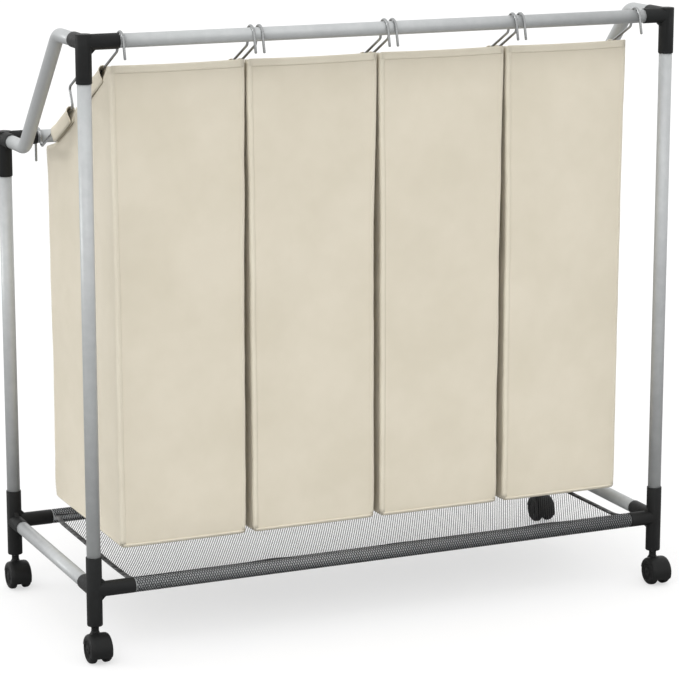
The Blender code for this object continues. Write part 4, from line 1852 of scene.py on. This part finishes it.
        def point(depth: float, out: float, up: float) -> Vector:
            """A point of the sleeve, which is wider and a little raised near its two mouths.

            Args:
                depth: Its depth behind the front rail's axis.
                out: How far it is outside the panel.
                up: How far it is above the hanger's run.

            Returns:
                The point.
            """
            mouth = 1 - ease(min(depth - first, last - depth), 0.0, mouth_length)
            wider = 1 + gape * mouth * ease(up, seam, -0.0025)
            out_by = centre + (out - centre) * wider + slack * self.sway(depth * 40, up * 60, side.value)
            place = self.line.at(depth, up + mouth_rise * mouth)
            return Vector((face + side.value * out_by, place.y, place.z))

        depths = evenly(first, last, self.sleeve_steps)
        carry(shape, [[point(depth, out, up) for out, up in section] for depth in depths])

    def strip(self, shape: Shape, section: Sequence[Vector], start: Vector, end: Vector, count: int) -> None:
        """Adds a strip of tape: a section carried along a straight run of the pattern, then draped.

        Args:
            shape: The mesh of the tape.
            section: The section's points about the run.
            start: The run's start.
            end: The run's end.
            count: The number of steps along it.
        """
        places = [start.lerp(end, share) for share in evenly(0.0, 1.0, count)]
        carry(shape, [[self.drape(place + point) for point in section] for place in places])

    def round_corner(self, first: Vector, second: Vector) -> list[Vector]:
        """The round stretch of a tape, about the sharp corner.

        Args:
            first: The direction that one of the two panels faces.
            second: The direction that the other faces, where the stretch starts.

        Returns:
            Its points.
        """
        points = []
        for angle in evenly(0.0, QUARTER, 4):
            over = (self.corner + self.proud) * math.sin(angle) - self.corner
            up = (self.corner + self.proud) * math.cos(angle) - self.corner
            points.append(first * over + second * up)
        return points

    def corner_section(self, hand: int, row: int) -> list[Vector]:
        """The section of the tape round an upright corner.

        Args:
            hand: -1 at the left, 1 at the right.
            row: -1 at the front, 1 at the rear.

        Returns:
            Points from the long panel round the corner to the side panel, both ends tucked in.
        """
        side = Vector((hand, 0, 0))
        panel = Vector((0, row, 0))
        tucked = self.tape + 0.0004
        start = [-side * tucked - panel * self.proud, panel * self.proud - side * self.tape]
        end = [side * self.proud - panel * self.tape, -side * self.proud - panel * tucked]
        return start + self.round_corner(side, panel) + end

    def bottom_section(self, out: Vector) -> list[Vector]:
        """The section of the tape along a bottom edge.

        Args:
            out: The direction that the panel above the edge faces.

        Returns:
            Points from the floor round the edge to the panel.
        """
        under = self.low_tape + 0.0006
        start = -UP * self.proud - out * under
        return [start, *self.round_corner(out, -UP), out * self.proud + UP * self.low_tape]

    def bindings(self) -> Shape:
        """Makes the bindings.

        Returns:
            The tapes round the upright corners and along the bottom edges.
        """
        shape = bmesh.new()
        floor = self.low.z
        left = self.middle - self.half
        right = self.middle + self.half
        for hand, x in ((-1, left), (1, right)):
            for row, y, top in self.panels:
                start = Vector((x, y, floor + 0.0025))
                end = Vector((x, y, top - self.proud))
                self.strip(shape, self.corner_section(hand, row), start, end, self.cuts[2])
        for way, y, x in ((-1, self.low.y, left), (1, self.high.y, right)):
            ends = [Vector((side, y, floor)) for side in (left + self.corner, right - self.corner)]
            self.strip(shape, self.bottom_section(Vector((0, way, 0))), *ends, self.panel_steps)
            ends = [Vector((x, row, floor)) for row in (self.low.y + self.corner, self.high.y - self.corner)]
            self.strip(shape, self.bottom_section(Vector((way, 0, 0))), *ends, self.side_steps)
        return mapped(shape)

    def hems(self) -> Shape:
        """Makes the hems.

        Returns:
            The folds over the front and the rear panel's top edges.
        """
        shape = bmesh.new()
        tall = self.hem_height
        out = 0.0006
        fold = 0.0012
        inside = -self.cloth - out
        outline = [(out * 0.2, -tall - 0.0004), (out, -tall), (out, -fold), (out * 0.6, 0.0)]
        outline += [(-self.cloth / 2, out), (inside * 0.9, 0.0), (inside, -fold), (inside, -tall)]
        inset = self.half - self.corner * 0.6
        for row, y, top in self.panels:
            section = [Vector((0, row * across, up)) for across, up in outline]
            ends = [Vector((self.middle + hand * inset, y, top)) for hand in (-1, 1)]
            self.strip(shape, section, *ends, self.panel_steps)
        return mapped(shape)

    def stitch_row(self, shape: Shape, route: Sequence[Vector], lift: Vector) -> None:
        """Adds a row of stitches.

        Args:
            shape: The mesh of all the bag's stitches.
            route: The row's route, already draped.
            lift: How far and which way the stitches stand off the route.
        """
        points = spaced(route, self.stitch_pitch)
        for start, end in zip(points, points[1:]):
            way = end - start
            turn = UP.rotation_difference(way).to_matrix().to_4x4()
            place = Matrix.Translation((start + end) / 2 + lift) @ turn
            bmesh.ops.create_cone(
                shape,
                cap_ends=True,
                segments=5,
                radius1=self.stitch_radius * 0.8,
                radius2=self.stitch_radius,
                depth=self.stitch_length,
                matrix=place,
            )

    def stitching(self) -> Shape:
        """Makes every row of stitches.

        Returns:
            The rows beside the corner tapes, under the hems, along the bottom and along the sleeves.
        """
        shape = bmesh.new()
        floor = self.low.z
        low_row = floor + self.low_tape - 0.0009
        on_tape = 0.0011
        on_hem = 0.0012
        on_sleeve = 0.0019
        sleeve_row = -0.0162
        inset = self.tape - 0.0013
        for hand in (-1, 1):
            x = self.middle + hand * self.half
            out = Vector((hand, 0, 0))
            for row, y, top in self.panels:
                heights = evenly(floor + self.stitch_margin, top - 0.002, self.stitch_steps)
                face = [self.drape(Vector((x - hand * inset, y, z))) for z in heights]
                self.stitch_row(shape, face, Vector((0, row * on_tape, 0)))
                lower = heights[:-2] if row < 0 else heights
                flank = [self.drape(Vector((x, y - row * inset, z))) for z in lower]
                self.stitch_row(shape, flank, out * on_tape)
            ys = evenly(self.low.y + self.stitch_margin, self.high.y - self.stitch_margin, self.stitch_steps)
            self.stitch_row(shape, [self.drape(Vector((x, y, low_row))) for y in ys], out * on_tape)
            for first, last in (self.sleeve_front, self.sleeve_rear):
                depths = evenly(first + 0.001, last - 0.001, 12)
                seam = [self.line.at(depth, sleeve_row) + Vector((x, 0, 0)) for depth in depths]
                self.stitch_row(shape, seam, out * on_sleeve)
        reach = self.half - self.tape - 0.001
        xs = evenly(self.middle - reach, self.middle + reach, self.stitch_steps)
        for row, y, top in self.panels:
            for z, lift in ((top - self.hem_height + on_hem, on_hem), (low_row, on_tape)):
                seam = [self.drape(Vector((x, y, z))) for x in xs]
                self.stitch_row(shape, seam, Vector((0, row * lift, 0)))
        shape.normal_update()
        lay_map(shape, lambda loop: (loop.vert.co.x + loop.vert.co.y, loop.vert.co.z))
        return shape

    def board(self) -> Shape:
        """Makes the stiff base board.

        Returns:
            A plate with rounded corners and eased edges.
        """
        low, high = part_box(f"{self.name}_base_board")
        play = Vector((2 * self.board_play, 0, 0))
        shape = block((low + high) / 2, high - low - play)
        uprights = [edge for edge in shape.edges if along_axis(edge, 2) > SAME_PLACE]
        bmesh.ops.bevel(shape, geom=uprights, offset=self.board_corner, segments=6, **EVEN_BEVEL)
        shape.normal_update()
        rims = [edge for edge in shape.edges if edge.calc_face_angle(0.0) > SHARP_EDGE]
        bmesh.ops.bevel(shape, geom=rims, offset=self.board_edge, segments=2, **EVEN_BEVEL)
        return shape

    def build(self) -> None:
        """Makes the bag's pieces."""
        grip = (self.sleeve_front[1], self.sleeve_rear[0])
        wires = [Hanger(self.number, side, self.line, self.palette, *grip).build() for side in Side]
        seat = Seat(self.name, "fabric", (f"{self.name}_fabric",))
        body = make_piece(f"{self.name}_cloth", self.body(), self.palette.cloth, seat, 60.0)
        give_wall(body, self.cloth)
        sleeves = bmesh.new()
        for side in Side:
            for ends in (self.sleeve_front, self.sleeve_rear):
                self.sleeve(sleeves, side, ends)
        bmesh.ops.recalc_face_normals(sleeves, faces=sleeves.faces)
        sleeves.normal_update()
        lay_map(sleeves, lambda loop: (loop.vert.co.y, loop.vert.co.z + loop.vert.co.x))
        palette = self.palette
        trims = [make_piece(f"{self.name}_sleeves", sleeves, palette.cloth, self.seat, 70.0)]
        trims.append(make_piece(f"{self.name}_bindings", self.bindings(), palette.hem, self.seat, 50.0))
        trims.append(make_piece(f"{self.name}_hems", self.hems(), palette.hem, self.seat, 50.0))
        for trim, (thickness, offset) in zip(trims, ((0.0009, 0.0), (0.0007, 1.0), (0.0006, 0.0))):
            give_wall(trim, thickness, offset)
        trims.append(make_piece(f"{self.name}_stitches", self.stitching(), palette.thread, self.seat))
        board_seat = Seat(self.name, "board", (f"{self.name}_base_board",))
        make_piece(f"{self.name}_board", self.board(), self.palette.board, board_seat)


# --- Shelf -------------------------------------------------------------------------------------------


@dataclass
class NetShelf:
    """The net shelf: a sleeve round each long bottom rail, a slack net between them and black edge tapes."""

    layout: Layout
    palette: Palette
    wrap: float = 0.0099
    thread: float = 0.0002
    sag: float = 0.004
    seam: float = math.radians(20)
    round_steps: int = 26
    span_steps: int = 34
    columns: int = 96
    tape: float = 0.0065
    tape_steps: int = 48
    fold_steps: int = 180
    fold_pitch: float = 0.215
    tape_thickness: float = 0.0006
    fold_thickness: float = 0.0008

    def __post_init__(self) -> None:
        """Reads the shelf's ends from its solid."""
        low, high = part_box("net_shelf")
        self.start = low.x
        self.end = high.x

    def span(self, share: float, x: float) -> Vector:
        """A point of the net between its sleeves.

        Args:
            share: How much of the way it is from the front sleeve to the rear one.
            x: Its place along the row.

        Returns:
            The point, sagging a little and rippled.
        """
        at = self.layout
        reach = self.wrap * math.cos(self.seam)
        y = at.front_y + reach + (at.rear_y - at.front_y - 2 * reach) * share
        slack = 4 * share * (1 - share)
        edge = self.wrap * math.sin(self.seam)
        height = edge * (1 - ease(min(share, 1 - share), 0.0, 0.1))
        wave = 0.0016 * slack * noise.noise(Vector((x * 7, y * 9, 0.4)))
        ends = ease(min(x - self.start, self.end - x), 0.0, 0.05)
        return Vector((x, y, at.bottom_z + height - self.sag * slack * (0.45 + 0.55 * ends) + wave))

    def line(self, x: float) -> list[Vector]:
        """The net's course from the front sleeve to the rear one.

        Args:
            x: Its place along the row.

        Returns:
            Its points.
        """
        at = self.layout
        front = Vector((x, at.front_y, at.bottom_z))
        rear = Vector((x, at.rear_y, at.bottom_z))
        course = arc_points(front, self.wrap, FULL_TURN - self.seam, self.seam, self.round_steps)
        course += [self.span(share, x) for share in evenly(0.0, 1.0, self.span_steps)[1:-1]]
        course += arc_points(rear, self.wrap, math.pi - self.seam, self.seam - math.pi, self.round_steps)
        return course

    def net(self) -> Shape:
        """Makes the net.

        Returns:
            One sheet from sleeve to sleeve, mapped by its own length and width.
        """
        shape = bmesh.new()
        run_layer = shape.verts.layers.float.new("run")
        course = self.line(self.start)
        edges = draw_line(shape, course)
        run = 0.0
        for index, vert in enumerate(list(shape.verts)):
            run += (course[index] - course[index - 1]).length if index else 0.0
            vert[run_layer] = run
        for x in evenly(self.start, self.end, self.columns)[1:]:
            edges = pull_edges(shape, edges, STILL)
            ring = sorted({vert for edge in edges for vert in edge.verts}, key=lambda vert: vert[run_layer])
            for vert, place in zip(ring, self.line(x)):
                vert.co = place
        bmesh.ops.recalc_face_normals(shape, faces=shape.faces)
        lay_map(shape, lambda loop: (loop.vert.co.x, loop.vert[run_layer] - run / 2))
        return shape

    def edge_tape(self, side: Side) -> Shape:
        """The black tape folded over one end of the net.

        Args:
            side: Which end.

        Returns:
            The tape.
        """
        x = self.start if side is Side.LEFT else self.end
        upper = [(self.tape, 0.0008), (0.0006, 0.0009)]
        lower = [(0.0006, -0.0009), (self.tape, -0.0008)]
        outline = [Vector((-side.value * across, 0, up)) for across, up in (*upper, (0.0, 0.0), *lower)]
        shape = bmesh.new()
        places = [self.span(share, x) for share in evenly(0.01, 0.99, self.tape_steps)]
        carry(shape, [[place + point for point in outline] for place in places])
        bmesh.ops.recalc_face_normals(shape, faces=shape.faces)
        return shape

    def seam_fold(self, row: Row) -> Shape:
        """The sewn fold beside a sleeve.

        Args:
            row: Which rail's sleeve.

        Returns:
            A narrow standing strip that ripples along the rail.
        """
        at = self.layout
        y = at.front_y if row is Row.FRONT else at.rear_y
        foot = y + row.value * (self.wrap * math.cos(self.seam) + 0.0004)
        base = at.bottom_z + self.wrap * math.sin(self.seam) - 0.0004
        over = 0.0022

        def points(x: float) -> list[Vector]:
            """The strip's section, taller where the fold swells.

            Args:
                x: Its place along the row.

            Returns:
                Its points.
            """
            wave = 0.5 + 0.5 * math.sin((x + 0.02) * FULL_TURN / self.fold_pitch)
            swell = min(max(wave + 0.35 * noise.noise(Vector((x * 12, 1, 7))), 0.0), 1.0)
            tall = 0.0007 + 0.0043 * swell**2
            lean = 0.0006 * math.sin(x * 70)
            section = []
            for across, up in ((0.0, -0.0006), (0.4, 0.4), (0.9, 1.0)):
                section.append(Vector((x, foot + row.value * across * over + lean * up, base + tall * up)))
            return section

        shape = bmesh.new()
        margin = 0.002
        stations = evenly(self.start + margin, self.end - margin, self.fold_steps)
        carry(shape, [points(x) for x in stations])
        bmesh.ops.recalc_face_normals(shape, faces=shape.faces)
        return shape

    def build(self) -> None:
        seat = Seat("frame", "net", ("net_shelf",))
        net = make_piece("shelf_net", self.net(), self.palette.net, seat, 80.0)
        give_wall(net, self.thread, 0.0)
        bare = Seat("frame", "net")
        for side in Side:
            tape = make_piece(f"shelf_{side.word}_tape", self.edge_tape(side), self.palette.tape, bare)
            give_wall(tape, self.tape_thickness, 0.0)
        for row in Row:
            fold = make_piece(f"shelf_{row.word}_seam", self.seam_fold(row), self.palette.tape, bare)
            give_wall(fold, self.fold_thickness, 0.0)


# --- Studio ------------------------------------------------------------------------------------------


@dataclass(frozen=True)
class Studio:
    """The pale floor, the white surroundings, two soft lamps and the camera."""

    camera_place: tuple[float, float, float] = (-1.4788, -3.3494, 1.1687)
    camera_turn: tuple[float, float, float] = (77.47, 0.0, -23.868)
    lens: float = 144.5
    surround: float = 1.12
    floor_tone: float = 0.36
    floor_lift: float = 0.58
    floor_reach: float = 30.0
    sight: float = 50.0

    def build(self) -> None:
        """Makes the floor, the world, the lamps and the camera."""
        self.floor()
        self.world()
        self.lamp("key_lamp", 1.3, 50, Vector((0.45, 1.0, -0.95)), False)
        self.lamp("side_lamp", 0.16, 60, Vector((1.0, 0.25, -0.5)), False)
        self.lamp("rim_lamp", 0.5, 14, Vector((1.0, -0.5, -0.25)), True)
        lens = bpy.data.cameras.new("camera")
        lens.lens = self.lens
        lens.clip_end = self.sight
        camera = bpy.data.objects.new("camera", lens)
        bpy.context.scene.collection.objects.link(camera)
        camera.location = self.camera_place
        camera.rotation_euler = tuple(math.radians(angle) for angle in self.camera_turn)
        bpy.context.scene.camera = camera
        bpy.context.scene.view_settings.view_transform = "Standard"

    def floor(self) -> None:
        """A broad pale floor that keeps the sorter's shadow and looks white to the camera elsewhere."""
        shape = bmesh.new()
        bmesh.ops.create_grid(shape, x_segments=8, y_segments=8, size=self.floor_reach)
        floor = as_object("floor", shape)
        material = bpy.data.materials.new("pale_floor")
        material.use_nodes = True
        bench = Bench(material.node_tree)
        shader = material.node_tree.nodes["Principled BSDF"]
        tone = self.floor_tone
        shader.inputs["Base Color"].default_value = (tone, tone, tone, 1)
        shader.inputs["Roughness"].default_value = 0.9
        shader.inputs["Specular IOR Level"].default_value = 0.0
        shader.inputs["Emission Color"].default_value = (1, 1, 1, 1)
        seen = bench.add("ShaderNodeLightPath").outputs["Is Camera Ray"]
        bench.feed(shader.inputs["Emission Strength"], bench.sums("MULTIPLY", seen, self.floor_lift))
        floor.data.materials.append(material)

    def world(self) -> None:
        """White surroundings: seen and mirrored at strength 1, and lighting the scene at surround."""
        world = bpy.data.worlds.new("white_studio")
        bpy.context.scene.world = world
        world.use_nodes = True
        bench = Bench(world.node_tree)
        sky = world.node_tree.nodes["Background"]
        path = bench.add("ShaderNodeLightPath")
        seen = path.outputs["Is Camera Ray"]
        for ray in ("Is Glossy Ray", "Is Transmission Ray"):
            seen = bench.sums("MAXIMUM", seen, path.outputs[ray])
        bench.feed(sky.inputs["Strength"], bench.ranged(seen, 0.0, 1.0, self.surround, 1.0))
        sky.inputs["Color"].default_value = (1, 1, 1, 1)

    @staticmethod
    def lamp(name: str, strength: float, spread: float, way: Vector, glints: bool) -> None:
        """An even lamp from far away.

        Args:
            name: The lamp's name.
            strength: Its strength.
            spread: The angle in degrees that its light spreads over.
            way: The direction that its light travels in.
            glints: Whether it shows in reflections.
        """
        sun = bpy.data.lights.new(name, "SUN")
        sun.energy = strength
        sun.angle = math.radians(spread)
        lamp = bpy.data.objects.new(name, sun)
        bpy.context.scene.collection.objects.link(lamp)
        lamp.rotation_euler = way.to_track_quat("-Z", "Y").to_euler()
        lamp.visible_glossy = glints


def main() -> None:
    """Builds the sorter around its solids and sets up the studio."""
    logging.basicConfig(level=logging.INFO)
    layout = Layout.from_solids()
    palette = Palette.build()
    TubeFrame(layout, palette).build()
    Corners.of(layout, palette).build()
    for row in Row:
        for side in Side:
            Caster(row, side, palette).build()
    line = HangLine(layout)
    for number in range(1, 5):
        Bag(number, line, palette).build()
    NetShelf(layout, palette).build()
    Studio().build()


if __name__ == "__main__":
    main()
